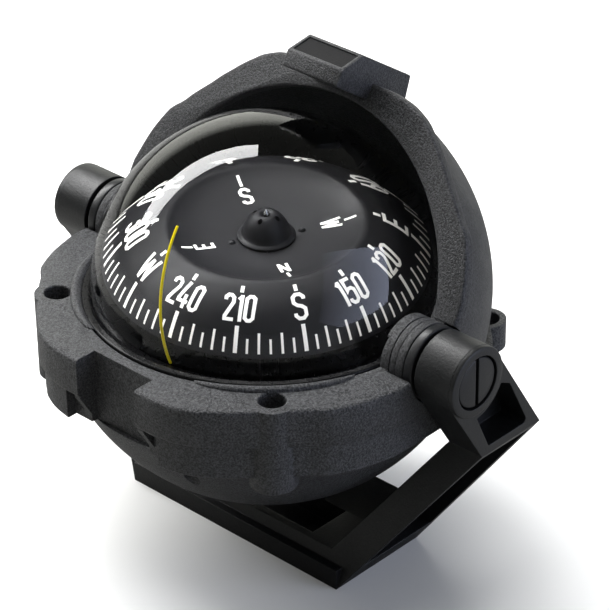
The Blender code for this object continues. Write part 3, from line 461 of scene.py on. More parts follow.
def makeLowerShell():
    s = shell
    start = -math.degrees(math.asin(-s["top"] / s["radius"]))
    inner = s["radius"] - s["wall"]
    innerStart = -math.degrees(math.asin(-s["top"] / inner))
    outside = arcPoints(s["radius"], start, -90, 40)
    inside = arcPoints(inner, -77.2, innerStart, 30)
    rim = outside[0][0]
    floor = inside[0][1]
    upper = [(inside[-1][0], s["lip"]), (rim, s["lip"])]
    profile = [(0, floor)] + inside + upper + outside[:-1] + [(0, -s["radius"])]
    body = turnProfile("lowerShell", profile, 160)
    rooms = [block("notchRoom", (-bezel["notchRoom"], -110, -31.2), (bezel["notchRoom"], -74.2, 0))]
    for x, y, radius, foot in earPlaces():
        reach, end = radius + s["earGap"], foot - s["earGap"]
        rooms.append(turnProfile("room", [(0, 0), (reach, 0), (reach, end), (0, end)], 40, at=(x, y)))
    bore, head = bezel["postBore"], s["screwHead"]
    well = [(0, -15), (bore, -15), (bore, -36.5), (head, -36.5), (head, -70), (0, -70)]
    for place in postPlaces():
        rooms.append(turnProfile("well", well, 28, at=place))
    combine(body, rooms)
    finishPiece(body, housingPlastic, "compass", ["lower_shell"])


makeLowerShell()
print("lower shell made")


yoke = {
    "armIn": 87.0, "armOut": 103.0, "bossOut": 105.0, "bossRadius": 14.2,
    "armFoot": (5.7, 39.2, -35.9), "footHalf": 55.6, "strutFoot": 39.6, "footY": (-22.7, 24.0), "footTop": 13,
    "rearTop": 19.0, "flange": 8.6, "seat": 10.7, "pocketDepth": 12.0, "bore": 4.3, "footScrewX": 26.0,
}


def makeBracket():
    y = yoke
    front, back, footZ = y["armFoot"]
    f0, f1 = y["footY"]
    half = y["footHalf"]
    base = -axisZ * 1000
    tangents = []
    for py, pz, sign in ((back, footZ, 1), (front, footZ, -1)):
        reach = math.hypot(py, pz)
        tangents.append(math.degrees(math.atan2(pz, py) + sign * math.acos(y["bossRadius"] / reach)))
    circle = arcPoints(y["bossRadius"], tangents[0], tangents[1] + 360, 60)
    arm = circle + [(front, footZ), (back, footZ)]
    footLoop = [(f0, base), (f1, base), (f1, base + y["rearTop"]), (5.2, base + y["footTop"]),
                (f0 + 5.4, base + y["footTop"])]
    body = slab("yokeBracket", footLoop, -51.6, 51.6, "x")
    adds = [block("flange", (-half, f0, base), (half, f1, base + y["flange"]))]
    for side in (-1, 1):
        lowIn, lowOut = side * y["strutFoot"], side * half
        topIn, topOut = side * (y["armIn"] + 0.02), side * (y["armOut"] - 0.02)
        top = footZ + 0.1
        loops = [[(lowIn, f0, base), (lowOut, f0, base), (lowOut, f1, base), (lowIn, f1, base)],
                 [(topIn, front, top), (topOut, front, top), (topOut, back, top), (topIn, back, top)]]
        adds.append(loftLoops("strut", loops))
        adds.append(slab("arm", arm, *sorted((side * y["armIn"], side * y["armOut"])), axis="x"))
        boss = [(0, 95), (14.1, 95), (14.1, 104.4), (13.9, 104.8), (13.4, y["bossOut"]), (0, y["bossOut"])]
        adds.append(turnProfile("boss", [(r, side * x) for r, x in boss], 72, "x"))
    combine(body, adds, "UNION")
    cuts = []
    low = footZ + 3.4
    pocket = roundCorners(arcPoints(17.4, -83, -27, 14) + [(20.7, -10.5), (31.8, low), (9.2, low)],
                          [1.2] + [0] * 13 + [1.6, 1.6, 1.8, 1.6], 5)
    for side in (-1, 1):
        span = sorted((side * (y["armOut"] - y["pocketDepth"]), side * (y["armOut"] + 4)))
        cuts.append(slab("pocket", pocket, *span, axis="x"))
        loops = []
        for t in (0.16, 0.96):          # the channel's two ends, as shares of the strut's height
            z = base + (footZ - base) * t
            outX = half + (y["armOut"] - half) * t
            y0 = f0 + 3.2 + (front - f0) * t
            y1 = f1 - 3.2 + (back - f1) * t
            x0, x1 = side * (outX - 10.5), side * (outX + 10)
            loops.append([(x0, y0, z), (x1, y0, z), (x1, y1, z), (x0, y1, z)])
        cuts.append(loftLoops("channel", loops))
    cuts.append(block("footPocket", (-35.6, -14.2, base + 3.5), (35.6, 4.9, base + 40)))
    hole = [(0, base + 10), (4.6, base + 10), (4.6, base + 3.4), (2.6, base + 1.6), (2.6, base - 5),
            (0, base - 5)]
    for side in (-1, 1):
        cuts.append(turnProfile("footHole", hole, 32, at=(side * y["footScrewX"], -4.65)))
    seat = [(0, 112), (y["seat"], 112), (y["seat"], 99.3), (y["bore"], 99.3)]
    cuts.append(turnProfile("seats", seat + [(r, -x) for r, x in seat[::-1]], 72, "x"))
    combine(body, cuts)
    finishPiece(body, bracketPlastic, "bracket", ["yoke_bracket"])


def makePivotScrew(name, node, body, side):
    head = [(0, 104.6), (9.2, 104.6), (9.7, 104.45), (10.0, 104.1), (10.1, 103.6), (10.1, 99.6), (4.0, 99.6),
            (4.0, 76.9), (3.6, 76.5), (0, 76.5)]
    screw = turnProfile(name, [(r, side * x) for r, x in head], 72, "x")
    half, reach = 0.9, 13.0
    corners = [(-half, -reach), (half, -reach), (half, reach), (-half, reach)]
    span = sorted((side * 101.8, side * 107.0))
    combine(screw, [slab("slot", corners, *span, axis="x")])
    finishPiece(screw, screwPlastic, body, [node])


makeBracket()
makePivotScrew("pivotScrewRight", "pivot_screw_right", "screw_right", 1)
makePivotScrew("pivotScrewLeft", "pivot_screw_left", "screw_left", -1)
print("bracket made")


def ringOnAxis(name, outer, inner, low, high, side, soft=0.5):
    # a ring on the tilt axis, its outer corners softened
    loop = roundCorners([(inner, low), (inner, high), (outer, high), (outer, low)], [0, 0, soft, soft], 4)
    return turnProfile(name, [(r, side * x) for r, x in loop], 96, "x", closed=True)


for side, tag in ((1, "right"), (-1, "left")):
    collar = ringOnAxis("trunnionCollar." + tag, 14.2, 6.8, 81.3, 85.1, side)
    finishPiece(collar, screwPlastic, "compass", ["trunnion_collar_" + tag])
    washer = ringOnAxis("pivotWasher." + tag, 12.6, 4.3, 85.4, 86.7, side, 0.2)
    finishPiece(washer, blackRubber, "compass", ["pivot_washer_" + tag])


hoodShape = {
    "gap": 1.6, "inner": 77.0, "shellInner": 83.9, "shellOuter": 85.8, "side": 86.0, "near": 14.9,
    "tailZ": -20.0, "gripHalf": 14.0, "open": 120.0, "hinge": (74.6, 81.0), "hingeRadii": (14.2, 6.8),
    "toShell": 99.0,            # an inset that leaves the thin shell's own radius
}


def hoodPoint(x, rho, alpha):
    # alpha is the angle up from the closed rim plane; the result is in the open position
    y, z = -rho * math.cos(alpha), rho * math.sin(alpha)
    turn = math.radians(-hoodShape["open"])
    return (x, y * math.cos(turn) - z * math.sin(turn), y * math.sin(turn) + z * math.cos(turn))


def hoodStations():
    # (level above the axis plane, outer inset, inner radius); rounded rim, then the thin shell
    h = hoodShape
    rim, shellIn, deep = h["inner"], h["shellInner"], h["toShell"]
    g = h["gap"]
    return [(g, 1.5, rim + 0.9), (g + 0.1, 0.9, rim + 0.5), (g + 0.4, 0.35, rim + 0.2), (g + 0.9, 0.05, rim),
            (g + 1.5, 0.0, rim), (g + 4.2, 0.0, rim), (g + 4.7, 0.1, rim + 0.5), (g + 5.0, 0.4, rim + 2.0),
            (g + 5.2, 1.0, rim + 4.0), (g + 5.3, 3.0, shellIn - 0.8), (g + 5.6, deep, shellIn),
            (g + 6.6, deep, shellIn)]


def levelAlpha(level, rho):
    return math.asin(min(0.7, level / rho))


def tailAlpha(rho):
    # where the hood ends behind, level with its tail in the open position
    return math.radians(min(60 + math.degrees(math.asin(min(1, -hoodShape["tailZ"] / rho))), 93.0))


def makeHoodShell():
    h = hoodShape
    limit = math.degrees(math.atan2(h["side"], h["near"]))
    count, rows = 96, 32
    angles = [-limit + 2 * limit * i / count for i in range(count + 1)]

    def outerPoint(angle, inset):
        a = math.radians(angle)
        across = abs(math.sin(a))
        reach = h["side"] / across if across > 0.3 else 999
        r = max(min(lobeRadius(angle), reach) - inset, min(h["shellOuter"], reach))
        return r * math.sin(a), max(r * math.cos(a), h["near"])

    def loopAt(alphaOf, inset, innerR):
        loop = []
        for angle in angles:
            x, rho = outerPoint(angle, inset)
            loop.append(hoodPoint(x, rho, alphaOf(rho)))
        innerLimit = math.degrees(math.acos(h["near"] / innerR))
        for angle in angles[::-1]:
            a = math.radians(angle * innerLimit / limit)
            x, rho = innerR * math.sin(a), innerR * math.cos(a)
            loop.append(hoodPoint(x, rho, alphaOf(rho)))
        return loop

    loops = []
    for level, inset, innerR in hoodStations():
        loops.append(loopAt(lambda rho: levelAlpha(level, rho), inset, innerR))
    level, inset, innerR = hoodStations()[-1]
    for k in range(1, rows + 1):
        t = k / rows
        thinner = 0.4 if k == rows else 0
        loops.append(loopAt(lambda rho: (1 - t) * levelAlpha(level, rho) + t * tailAlpha(rho), inset,
                            innerR + thinner))
    return loftLoops("hoodShell", loops)


def makeHood():
    h = hoodShape
    parts = [makeHoodShell()]
    near, far = h["hinge"]
    for side in (-1, 1):
        parts.append(ringOnAxis("hoodRing", *h["hingeRadii"], near, near + 3.0, side))
        parts.append(ringOnAxis("hoodRing", *h["hingeRadii"], near + 2.9, far, side))
        low = h["gap"] + 0.4
        corner = [(-30, low), (-8, low), (-8, 12.5), (-26, 12.5)]
        loops = [[hoodPoint(side * x, math.hypot(y, z), math.atan2(z, -y)) for y, z in corner]
                 for x in (near, far)]
        parts.append(loftLoops("ear", loops))
    hood = joinPieces("hoodShell", parts)
    finishPiece(hood, hoodPlastic, "hood", ["hood"])
    makeGrip()


def gripSection(points):
    return [(-r * math.cos(math.radians(a)), r * math.sin(math.radians(a))) for r, a in points]


def makeGrip():
    h = hoodShape
    section = gripSection([(83.0, -13), (89.3, -12), (95.4, -5.5), (95.4, 14), (86.0, 17), (79.0, 6)])
    section = roundCorners(section, [1.0] * len(section), 4)
    half = h["gripHalf"]
    cy = sum(p[0] for p in section) / len(section)
    cz = sum(p[1] for p in section) / len(section)
    loops = []
    for x, inset in ((-half, 0.6), (-half + 0.15, 0.25), (-half + 0.6, 0), (half - 0.6, 0),
                     (half - 0.15, 0.25), (half, 0.6)):
        ring = []
        for y, z in section:
            d = math.hypot(y - cy, z - cz)
            k = (d - inset) / d
            y2, z2 = cy + (y - cy) * k, cz + (z - cz) * k
            ring.append(hoodPoint(x, math.hypot(y2, z2), math.atan2(z2, -y2)))
        loops.append(ring)
    grip = loftLoops("hoodGrip", loops)
    a, b = [Vector(p) for p in gripSection([(89.3, -12), (95.4, -5.5)])]
    along = (b - a).normalized()
    out = Vector((-along.y, along.x))
    out = out if out.x < 0 else -out
    low, high = a + along * 1.3, b - along * 1.3
    padHalf = half - 1.6

    def slabIn(name, lo, hi, deep, proud, wide):
        flat = [lo + out * proud, hi + out * proud, hi - out * deep, lo - out * deep]
        rings = [[hoodPoint(x, p.length, math.atan2(p.y, -p.x)) for p in flat] for x in (-wide, wide)]
        return loftLoops(name, rings)

    combine(grip, [slabIn("recess", low, high, 1.2, 1.5, padHalf)])
    finishPiece(grip, hoodPlastic, "hood")
    pad = slabIn("gripPad", low + along * 0.3, high - along * 0.3, 1.15, -0.45, padHalf - 0.3)
    finishPiece(pad, padBlack, "hood", ["hood_grip_pad"])


makeHood()
print("hood made")


capsule = {"dome": 67.5, "fill": 65.2, "ring": (67.75, 71.0)}


def makeCapsule():
    c = capsule
    top = arcPoints(c["dome"], 90, 0, 45)
    top[0] = (0.0, c["dome"])
    low = arcPoints(c["fill"], -6, -46, 10)
    profile = top + [(c["dome"], -6.4), (c["fill"], -6.6)] + low[1:] + [(0.0, low[-1][1])]
    dome = turnProfile("domeFilling", profile, 192)
    finishPiece(dome, domeClear, "compass", ["dome"], sharp=50)
    inner, outer = c["ring"]
    section = [(inner, -2.9), (inner, -1.1), (inner + 0.6, -0.5), (outer - 0.4, -0.5), (outer, -1.0),
               (outer, -2.9)]
    loop = roundCorners(section, [0.3] * len(section), 3)
    ring = turnProfile("domeRing", loop, 192, closed=True)
    finishPiece(ring, innerBlack, "compass", ["dome_ring"])


makeCapsule()
print("capsule made")


card = {
    "heading": 240.2,
    "shape": ((46.1, -1.4), (45.4, 0.6), (44.0, 3.5), (41.8, 7.3), (39.2, 10.9), (36.2, 13.9), (33.0, 16.3),
              (30.6, 17.7), (29.4, 18.2), (28.3, 18.2), (26.6, 17.6), (23.5, 16.8), (19.0, 16.2),
              (14.0, 15.9), (10.0, 15.7), (8.2, 15.6)),
    "under": ((8.2, 14.4), (19.0, 14.9), (27.5, 16.6), (29.5, 16.8), (36.0, 12.4), (43.2, 2.4), (45.2, -1.4)),
    "numeralHeight": 8.2, "stroke": 1.2, "numeralFoot": 12.6, "figureGap": 0.20,
    "letterHeight": 5.4, "letterStroke": 0.9, "letterFoot": 16.2, "ink": 0.09, "inkFoot": -0.05,
}


def smoothCurve(points, parts):
    # a curve through the points, each stretch in equal parts
    out = []
    last = len(points) - 1
    for i in range(last):
        p0, p1, p2, p3 = (Vector(points[max(0, min(last, k))]) for k in (i - 1, i, i + 1, i + 2))
        for j in range(parts):
            t = j / parts
            out.append(tuple(0.5 * (2 * p1 + (p2 - p0) * t + (2 * p0 - 5 * p1 + 4 * p2 - p3) * t * t
                                    + (3 * p1 - p0 - 3 * p2 + p3) * t * t * t)))
    return out + [tuple(points[-1])]


card["surface"] = smoothCurve(card["shape"], 5)


def cardHeight(r):
    points = card["surface"]
    for (r0, z0), (r1, z1) in zip(points, points[1:]):
        if r1 <= r <= r0:
            return z0 + (z1 - z0) * (r0 - r) / (r0 - r1)
    return points[0][1]


def cardArc():
    # distance along the card from its rim inwards, against radius
    out = [(0.0, card["surface"][0][0])]
    for (r0, z0), (r1, z1) in zip(card["surface"], card["surface"][1:]):
        out.append((out[-1][0] + math.hypot(r1 - r0, z1 - z0), r1))
    return out


cardTable = cardArc()


def radiusAlong(s):
    for (s0, r0), (s1, r1) in zip(cardTable, cardTable[1:]):
        if s <= s1:
            return r0 + (r1 - r0) * (s - s0) / (s1 - s0)
    return cardTable[-1][1]


def cardPoint(bearingAngle, s, lift):
    r = radiusAlong(s)
    r2 = radiusAlong(s + 0.2)
    slope = math.atan2(cardHeight(r2) - cardHeight(r), r - r2)
    radial, z = r + lift * math.sin(slope), cardHeight(r) + lift * math.cos(slope)
    a = math.radians(bearingAngle)
    return (radial * math.sin(a), -radial * math.cos(a), z)


# strokes of each figure in a box 1 high; x runs right and y runs up
figures = {
    "0": (0.32, [[(0.10, 0), (0.22, 0), (0.32, 0.10), (0.32, 0.90), (0.22, 1), (0.10, 1), (0, 0.90),
                  (0, 0.10), (0.10, 0)]]),
    "1": (0.12, [[(0.0, 0.84), (0.12, 0.98)], [(0.12, 1.04), (0.12, -0.06)]]),
    "2": (0.32, [[(0, 0.78), (0, 0.90), (0.10, 1), (0.22, 1), (0.32, 0.90), (0.32, 0.70), (0.02, 0.10),
                  (0.02, 0.0)],
                 [(-0.05, 0.0), (0.38, 0.0)]]),
    "3": (0.32, [[(0, 0.80), (0, 0.90), (0.10, 1), (0.22, 1), (0.32, 0.90), (0.32, 0.63), (0.22, 0.53),
                  (0.10, 0.53)],
                 [(0.16, 0.53), (0.22, 0.53), (0.32, 0.43), (0.32, 0.10), (0.22, 0), (0.10, 0), (0, 0.10),
                  (0, 0.20)]]),
    "4": (0.36, [[(0.20, 1.05), (-0.02, 0.30), (-0.02, 0.22), (0.42, 0.22)], [(0.27, 0.52), (0.27, -0.06)]]),
    "5": (0.32, [[(0.34, 1.0), (0.02, 1.0), (0.0, 0.52), (0.08, 0.60), (0.22, 0.60), (0.32, 0.50),
                  (0.32, 0.10), (0.22, 0), (0.10, 0), (0, 0.10), (0, 0.20)]]),
    "6": (0.32, [[(0.26, 1.05), (0.06, 0.58), (0.0, 0.40), (0, 0.10), (0.10, 0), (0.22, 0), (0.32, 0.10),
                  (0.32, 0.46), (0.22, 0.56), (0.06, 0.56)]]),
    "|": (0.0, [[(0, 0), (0, 1)]]),
    "N": (0.46, [[(0, 0), (0, 1)], [(0, 0.98), (0.46, 0.02)], [(0.46, 0), (0.46, 1)]]),
    "E": (0.38, [[(0.42, 1), (0, 1), (0, 0), (0.42, 0)], [(0.05, 0.52), (0.36, 0.52)]]),
    "S": (0.42, [[(0.42, 0.78), (0.42, 0.88), (0.30, 1), (0.12, 1), (0, 0.88), (0, 0.66), (0.12, 0.55),
                  (0.30, 0.49), (0.42, 0.38), (0.42, 0.12), (0.30, 0), (0.12, 0), (0, 0.12), (0, 0.22)]]),
    "W": (0.66, [[(0, 1.05), (0.15, 0.02)], [(0.15, -0.05), (0.33, 0.90)], [(0.33, 0.90), (0.51, -0.05)],
                 [(0.51, 0.02), (0.66, 1.05)]]),
}


def strokeRibbon(path, width):
    # left and right edges of a stroke with mitred corners
    closed = path[0] == path[-1]
    points = [Vector(p) for p in (path[:-1] if closed else path)]
    n = len(points)
    left, right = [], []
    for i, p in enumerate(points):
        before = points[i - 1] if (closed or i > 0) else None
        after = points[(i + 1) % n] if (closed or i < n - 1) else None
        a = (p - before).normalized() if before is not None else None
        b = (after - p).normalized() if after is not None else None
        a, b = a or b, b or a
        na, nb = Vector((-a.y, a.x)), Vector((-b.y, b.x))
        middle = (na + nb).normalized()
        reach = min(width / 2 / max(middle.dot(na), 0.35), width)
        left.append(p + middle * reach)
        right.append(p - middle * reach)
    return left, right, closed


def inkFigure(text, height, stroke, put):
    # put(u, v, lift) sets a point of the flat text on the card: u right from the middle, v up from the base
    ink, foot, gap = card["ink"], card["inkFoot"], card["figureGap"]
    widths = [figures[c][0] for c in text]
    total = sum(widths) + gap * (len(text) - 1)
    x = -total / 2
    points, faces = [], []
    for c, width in zip(text, widths):
        for path in figures[c][1]:
            left, right, closed = strokeRibbon([((x + px) * height, py * height) for px, py in path], stroke)
            n = len(left)
            base = len(points)
            cuts = 12 if width > 0.05 else 4
            rows = []
            for i in range(n if closed else n - 1):
                k = (i + 1) % n
                for j in range(cuts):
                    t = j / cuts
                    rows.append((left[i].lerp(left[k], t), right[i].lerp(right[k], t)))
            if not closed:
                rows.append((left[-1], right[-1]))
            for l, r in rows:
                points += [put(l.x, l.y, ink), put(r.x, r.y, ink), put(r.x, r.y, foot), put(l.x, l.y, foot)]
            m = len(rows)
            for i in range(m if closed else m - 1):
                p, q = base + 4 * i, base + 4 * ((i + 1) % m)
                for e in range(4):
                    f = (e + 1) % 4
                    faces.append((p + e, p + f, q + f, q + e))
            if not closed:
                faces.append((base, base + 1, base + 2, base + 3))
                e = base + 4 * (m - 1)
                faces.append((e + 3, e + 2, e + 1, e))
        x += width + gap
    return newPiece("figure." + text, points, faces)


def tickTree():
    # Geometry Nodes: one tick repeated round the card
    tree = bpy.data.node_groups.new("tickRing", "GeometryNodeTree")
    face = tree.interface
    face.new_socket("Geometry", in_out="OUTPUT", socket_type="NodeSocketGeometry")
    face.new_socket("Geometry", in_out="INPUT", socket_type="NodeSocketGeometry")
    face.new_socket("Count", in_out="INPUT", socket_type="NodeSocketInt")
    face.new_socket("Step", in_out="INPUT", socket_type="NodeSocketFloat")
    face.new_socket("Start", in_out="INPUT", socket_type="NodeSocketFloat")
    face.new_socket("Centre", in_out="INPUT", socket_type="NodeSocketVector")
    face.new_socket("Ink", in_out="INPUT", socket_type="NodeSocketMaterial")
    given = addNode(tree, "NodeGroupInput")
    points = addNode(tree, "GeometryNodePoints", i0=given.outputs["Count"], Position=given.outputs["Centre"])
    index = addNode(tree, "GeometryNodeInputIndex")
    turn = addNode(tree, "ShaderNodeMath", {"operation": "MULTIPLY_ADD"}, i0=index.outputs[0],
                   i1=given.outputs["Step"], i2=given.outputs["Start"])
    spin = addNode(tree, "ShaderNodeCombineXYZ", Z=turn.outputs[0])
    away = addNode(tree, "ShaderNodeVectorMath", {"operation": "SCALE"}, i0=given.outputs["Centre"],
                   Scale=-1.0)
    centred = addNode(tree, "GeometryNodeTransform", Geometry=given.outputs["Geometry"],
                      Translation=away.outputs[0])
    placed = addNode(tree, "GeometryNodeInstanceOnPoints", Points=points.outputs[0],
                     Instance=centred.outputs[0], Rotation=spin.outputs[0])
    real = addNode(tree, "GeometryNodeRealizeInstances", i0=placed.outputs[0])
    inked = addNode(tree, "GeometryNodeSetMaterial", Geometry=real.outputs[0], Material=given.outputs["Ink"])
    addNode(tree, "NodeGroupOutput", Geometry=inked.outputs[0])
    return tree


ticks = {
    "five": {"count": 36, "step": 10, "first": 5, "start": 1.6, "end": 6.6, "width": 0.78},
    "ten": {"count": 36, "step": 10, "first": 0, "start": 1.6, "end": 8.6, "width": 0.84},
    "thirty": {"count": 12, "step": 30, "first": 0, "start": 1.6, "end": 10.7, "width": 1.35},
    "inner": {"count": 12, "step": 30, "first": 0, "start": 22.1, "end": 24.4, "width": 1.2},
}


def makeTicks(tree, name, size):
    rows = 14
    ink, foot = card["ink"], card["inkFoot"]
    points, faces = [], []
    for i in range(rows + 1):
        s = size["start"] + (size["end"] - size["start"]) * i / rows
        half = math.degrees(size["width"] / 2 / radiusAlong(s))
        for a, lift in ((-half, ink), (half, ink), (half, foot), (-half, foot)):
            points.append(cardPoint(card["heading"] - size["first"] + a, s, lift))
    for i in range(rows):
        for e in range(4):
            f = (e + 1) % 4
            faces.append((4 * i + e, 4 * i + f, 4 * i + 4 + f, 4 * i + 4 + e))
    faces += [(0, 1, 2, 3), (4 * rows + 3, 4 * rows + 2, 4 * rows + 1, 4 * rows)]
    tick = newPiece("ticks." + name, points, faces)
    modifier = tick.modifiers.new("ring", "NODES")
    modifier.node_group = tree
    ids = {item.name: item.identifier for item in tree.interface.items_tree if item.in_out == "INPUT"}
    modifier[ids["Count"]] = size["count"]
    modifier[ids["Step"]] = math.radians(size["step"])
    modifier[ids["Start"]] = 0.0
    modifier[ids["Centre"]] = (0.0, 0.0, axisZ)
    modifier[ids["Ink"]] = whiteInk
    return settle(tick)


def makeCard():
    c = card
    cone = turnProfile("cardCone", list(c["surface"]) + list(c["under"]), 180, closed=True)
    finishPiece(cone, cardBlack, "card", ["card_cone", "card_dish"], sharp=60)
    marks = []
    tree = tickTree()
    for name, size in ticks.items():
        marks.append(makeTicks(tree, name, size))
    labels = {0: "N", 30: "30", 60: "60", 90: "E", 120: "120", 150: "150", 180: "S", 210: "210", 240: "240",
              270: "W", 300: "300", 330: "330"}
    for bearing, text in labels.items():
        middle = c["heading"] - bearing

        def put(u, v, lift, middle=middle):
            s = c["numeralFoot"] + v
            return cardPoint(middle + math.degrees(u / radiusAlong(s)), s, lift)

        marks.append(inkFigure(text, c["numeralHeight"], c["stroke"], put))
    for bearing in (0, 90, 180, 270):
        middle = c["heading"] - bearing + 180

        def putDish(u, v, lift, middle=middle):
            r = c["letterFoot"] + v
            a = math.radians(middle - math.degrees(u / r))
            return (r * math.sin(a), -r * math.cos(a), cardHeight(r) + lift)

        marks.append(inkFigure(labels[bearing], c["letterHeight"], c["letterStroke"], putDish))
        marks.append(inkFigure("|", 3.6, 0.8, lambda u, v, lift, put=putDish: put(u, v + 6.5, lift)))
    ink = joinPieces("cardMarks", marks)
    finishPiece(ink, whiteInk, "card")


def makeHub():
    profile = [(0, 22.6), (1.1, 22.6), (1.2, 23.4), (1.9, 23.9), (2.9, 23.75), (4.1, 23.0), (5.2, 21.7),
               (6.1, 20.1), (6.7, 18.4), (7.0, 17.1), (7.3, 16.8), (8.1, 16.6), (8.3, 16.3), (8.2, 15.9),
               (7.6, 15.7), (0, 15.7)]
    hub = turnProfile("cardHub", profile, 96)
    holes = []
    for k in range(4):
        a = math.radians(45 + 90 * k + card["heading"])
        holes.append(turnProfile("port", [(0, 26), (0.75, 26), (0.75, 20.5), (0, 20.5)], 20,
                                 at=(3.7 * math.cos(a), 3.7 * math.sin(a))))
    combine(hub, holes)
    finishPiece(hub, cardBlack, "card", ["card_hub"], sharp=45)
    pin = [(0, 25.2), (0.25, 25.1), (0.75, 23.9), (0.95, 22.9), (0.95, 20.6), (0, 20.6)]
    tip = turnProfile("pivotTip", pin, 32)
    finishPiece(tip, stainless, "card", ["jewel_setting"], sharp=50)
    rivets = []
    rivet = [(0, 16.5), (0.6, 16.35), (1.1, 15.9), (1.2, 15.3), (0, 15.3)]
    for turn in (180, 0):
        a = math.radians(card["heading"] + turn)
        rivets.append(turnProfile("rivet", rivet, 28, at=(10.4 * math.cos(a), 10.4 * math.sin(a))))
    finishPiece(joinPieces("cardRivets", rivets), cardBlack, "card",
                ["card_rivet_left", "card_rivet_right"], sharp=50)


def makeLubber():
    centreZ, radius, wire = 17.0, 52.0, 0.55
    start, end, steps, sides = 149.5, 210.5, 48, 16
    loops = []
    for i in range(steps + 1):
        a = math.radians(start + (end - start) * i / steps)
        outY, outZ = math.cos(a), math.sin(a)
        y, z = radius * outY, centreZ + radius * outZ
        around = [2 * math.pi * k / sides for k in range(sides)]
        loops.append([(wire * math.cos(t), y + outY * wire * math.sin(t), z + outZ * wire * math.sin(t))
                      for t in around])
    line = loftLoops("lubberLine", loops)
    finishPiece(line, yellowEnamel, "compass", ["lubber_line"], sharp=50)


makeCard()
makeHub()
makeLubber()
print("card made")


# finishes of the pieces that keep their CAD shape
finishes = {
    innerBlack: ("capsule_bowl", "lubber_ring", "pivot_post", "diaphragm_cover", "compensator_block",
                 "card_float"),
    blackRubber: ("dome_gasket", "diaphragm"),
    stainless: ("pivot_pin", "cover_screw_1", "cover_screw_2", "cover_screw_3", "shell_screw_1",
                "shell_screw_2", "shell_screw_3", "shell_screw_4"),
    machinedBrass: ("filler_plug", "compensator_rod_athwart", "compensator_rod_fore_aft"),
    magnetGrey: ("card_magnet_left", "card_magnet_right"),
    rubyJewel: ("jewel_cup",),
}
for material, names in finishes.items():
    for name in names:
        for place in frame["nodes"][name].material_slots:
            place.material = material


studio = {
    "floorHalf": 3.0, "floorColour": "F4F4F2", "floorBounce": "8A8A88", "skyColour": "F6F7EE",
    "azimuth": 43.6, "elevation": 30.9, "roll": -0.8, "distance": 1.121, "target": (0.0006, 0.0199, -0.0179),
    "lens": 170.2,
}


def cameraAxes():
    a, e, r = (math.radians(studio[key]) for key in ("azimuth", "elevation", "roll"))
    back = Vector((math.sin(a) * math.cos(e), -math.cos(a) * math.cos(e), math.sin(e)))
    right = Vector((math.cos(a), math.sin(a), 0))
    up = back.cross(right)
    return right * math.cos(r) + up * math.sin(r), up * math.cos(r) - right * math.sin(r), back


def makeCamera():
    right, up, back = cameraAxes()
    data = bpy.data.cameras.new("camera")
    data.lens = studio["lens"]
    data.sensor_width = 36
    data.clip_end = 20
    camera = bpy.data.objects.new("camera", data)
    centre = Vector(studio["target"]) + Vector((0, 0, axisZ))
    turn = Matrix((right, up, back)).transposed().to_4x4()
    camera.matrix_world = Matrix.Translation(centre + back * studio["distance"]) @ turn
    bpy.context.scene.collection.objects.link(camera)
    bpy.context.scene.camera = camera


def makeLight(name, direction, distance, size, power, colour="FFFFFF", roll=None):
    # direction, and roll along the long side, are in camera terms: right, up, towards the camera
    right, up, back = cameraAxes()
    way = (right * direction[0] + up * direction[1] + back * direction[2]).normalized()
    data = bpy.data.lights.new(name, "AREA")
    data.shape = "RECTANGLE"
    data.size, data.size_y = size
    data.energy = power
    data.color = hexColour(colour)[:3]
    light = bpy.data.objects.new(name, data)
    x = (right * roll[0] + up * roll[1] + back * roll[2]) if roll else up.cross(way)
    x = (x - way * x.dot(way)).normalized()
    turn = Matrix((x, way.cross(x), way)).transposed().to_4x4()
    light.matrix_world = Matrix.Translation(Vector((0, 0, axisZ)) + way * distance) @ turn
    bpy.context.scene.collection.objects.link(light)
    return light


def fadeLight(light):
    # the panel is bright at one edge and fades across
    light.data.use_nodes = True
    tree = light.data.node_tree
    tree.nodes.clear()
    across = addNode(tree, "ShaderNodeSeparateXYZ",
                     i0=addNode(tree, "ShaderNodeNewGeometry").outputs["Parametric"])
    level = addNode(tree, "ShaderNodeMapRange", i0=across.outputs["X"], i1=0.0, i2=1.0, i3=0.05, i4=1.6)
    glow = addNode(tree, "ShaderNodeEmission", Strength=level.outputs[0])
    addNode(tree, "ShaderNodeOutputLight", Surface=glow.outputs[0])


def floorPaint(name, seenColour, bounceColour):
    # seen pale, but bouncing less light up at the object's sides
    material, tree = newMaterial(name)
    place = addNode(tree, "ShaderNodeTexCoord").outputs["Object"]
    grain = addNode(tree, "ShaderNodeTexNoise", Vector=place, Scale=300.0, Detail=2.0)
    bump = addNode(tree, "ShaderNodeBump", Strength=0.2, Distance=0.0001, Height=grain.outputs[0])
    seen = addNode(tree, "ShaderNodeBsdfDiffuse", Color=hexColour(seenColour), Normal=bump.outputs[0])
    bounce = addNode(tree, "ShaderNodeBsdfDiffuse", Color=hexColour(bounceColour))
    path = addNode(tree, "ShaderNodeLightPath")
    mix = addNode(tree, "ShaderNodeMixShader", i0=path.outputs["Is Camera Ray"], i1=bounce.outputs[0],
                  i2=seen.outputs[0])
    addNode(tree, "ShaderNodeOutputMaterial", Surface=mix.outputs[0])
    return material


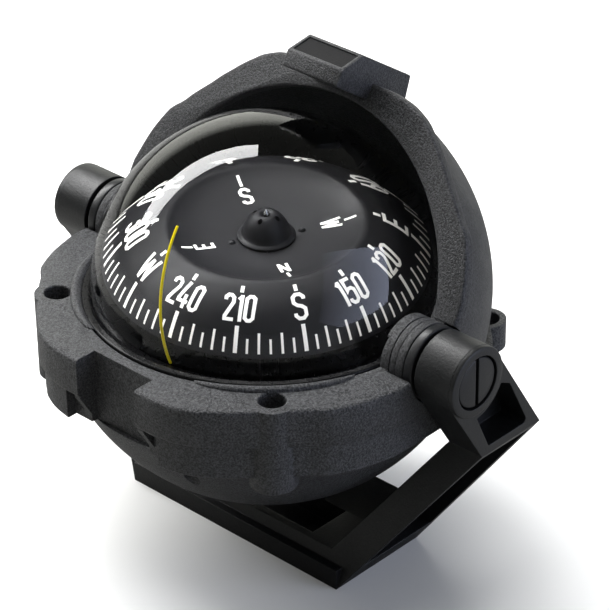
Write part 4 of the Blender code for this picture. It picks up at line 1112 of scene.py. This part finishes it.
def makeStudio():
    half = studio["floorHalf"]
    mesh = bpy.data.meshes.new("floor")
    corners = [(-half, -half, 0), (half, -half, 0), (half, half, 0), (-half, half, 0)]
    mesh.from_pydata(corners, [], [(0, 1, 2, 3)])
    floor = bpy.data.objects.new("floor", mesh)
    bpy.context.scene.collection.objects.link(floor)
    mesh.materials.append(floorPaint("floorPaint", studio["floorColour"], studio["floorBounce"]))
    world = bpy.data.worlds.new("studioWorld")
    bpy.context.scene.world = world
    world.use_nodes = True
    tree = world.node_tree
    tree.nodes.clear()
    path = addNode(tree, "ShaderNodeLightPath")
    away = -cameraAxes()[2]             # brighter behind the object, where the backdrop is
    way = addNode(tree, "ShaderNodeTexCoord").outputs["Generated"]
    facing = addNode(tree, "ShaderNodeVectorMath", {"operation": "DOT_PRODUCT"}, i0=way, i1=tuple(away))
    level = addNode(tree, "ShaderNodeMapRange", i0=facing.outputs["Value"], i1=0.54, i2=0.68, i3=0.12, i4=1.6)
    seen = addNode(tree, "ShaderNodeBackground", Color=(1, 1, 1, 1), Strength=1.0)
    lit = addNode(tree, "ShaderNodeBackground", Color=hexColour(studio["skyColour"]),
                  Strength=level.outputs[0])
    mix = addNode(tree, "ShaderNodeMixShader", i0=path.outputs["Is Camera Ray"], i1=lit.outputs[0],
                  i2=seen.outputs[0])
    addNode(tree, "ShaderNodeOutputWorld", Surface=mix.outputs[0])
    makeLight("stripSoftbox", (-0.55, 0.83, -0.07), 1.2, (1.35, 0.27), 19, roll=(0.83, 0.55, 0.02))
    side = makeLight("sideSoftbox", (0.83, -0.05, 0.50), 1.3, (1.15, 1.05), 13, "D9E2FF",
                     roll=(0.52, 0.0, -0.86))
    fadeLight(side)
    fill = makeLight("topFill", (-0.15, 0.95, 0.12), 1.6, (1.9, 1.9), 48)
    fill.visible_glossy = False
    front = makeLight("frontFill", (0.4, 0.2, 0.9), 2.0, (1.0, 1.0), 2.5)
    front.visible_glossy = False


makeStudio()
makeCamera()
bpy.context.scene.view_settings.view_transform = "Standard"
print("studio made")
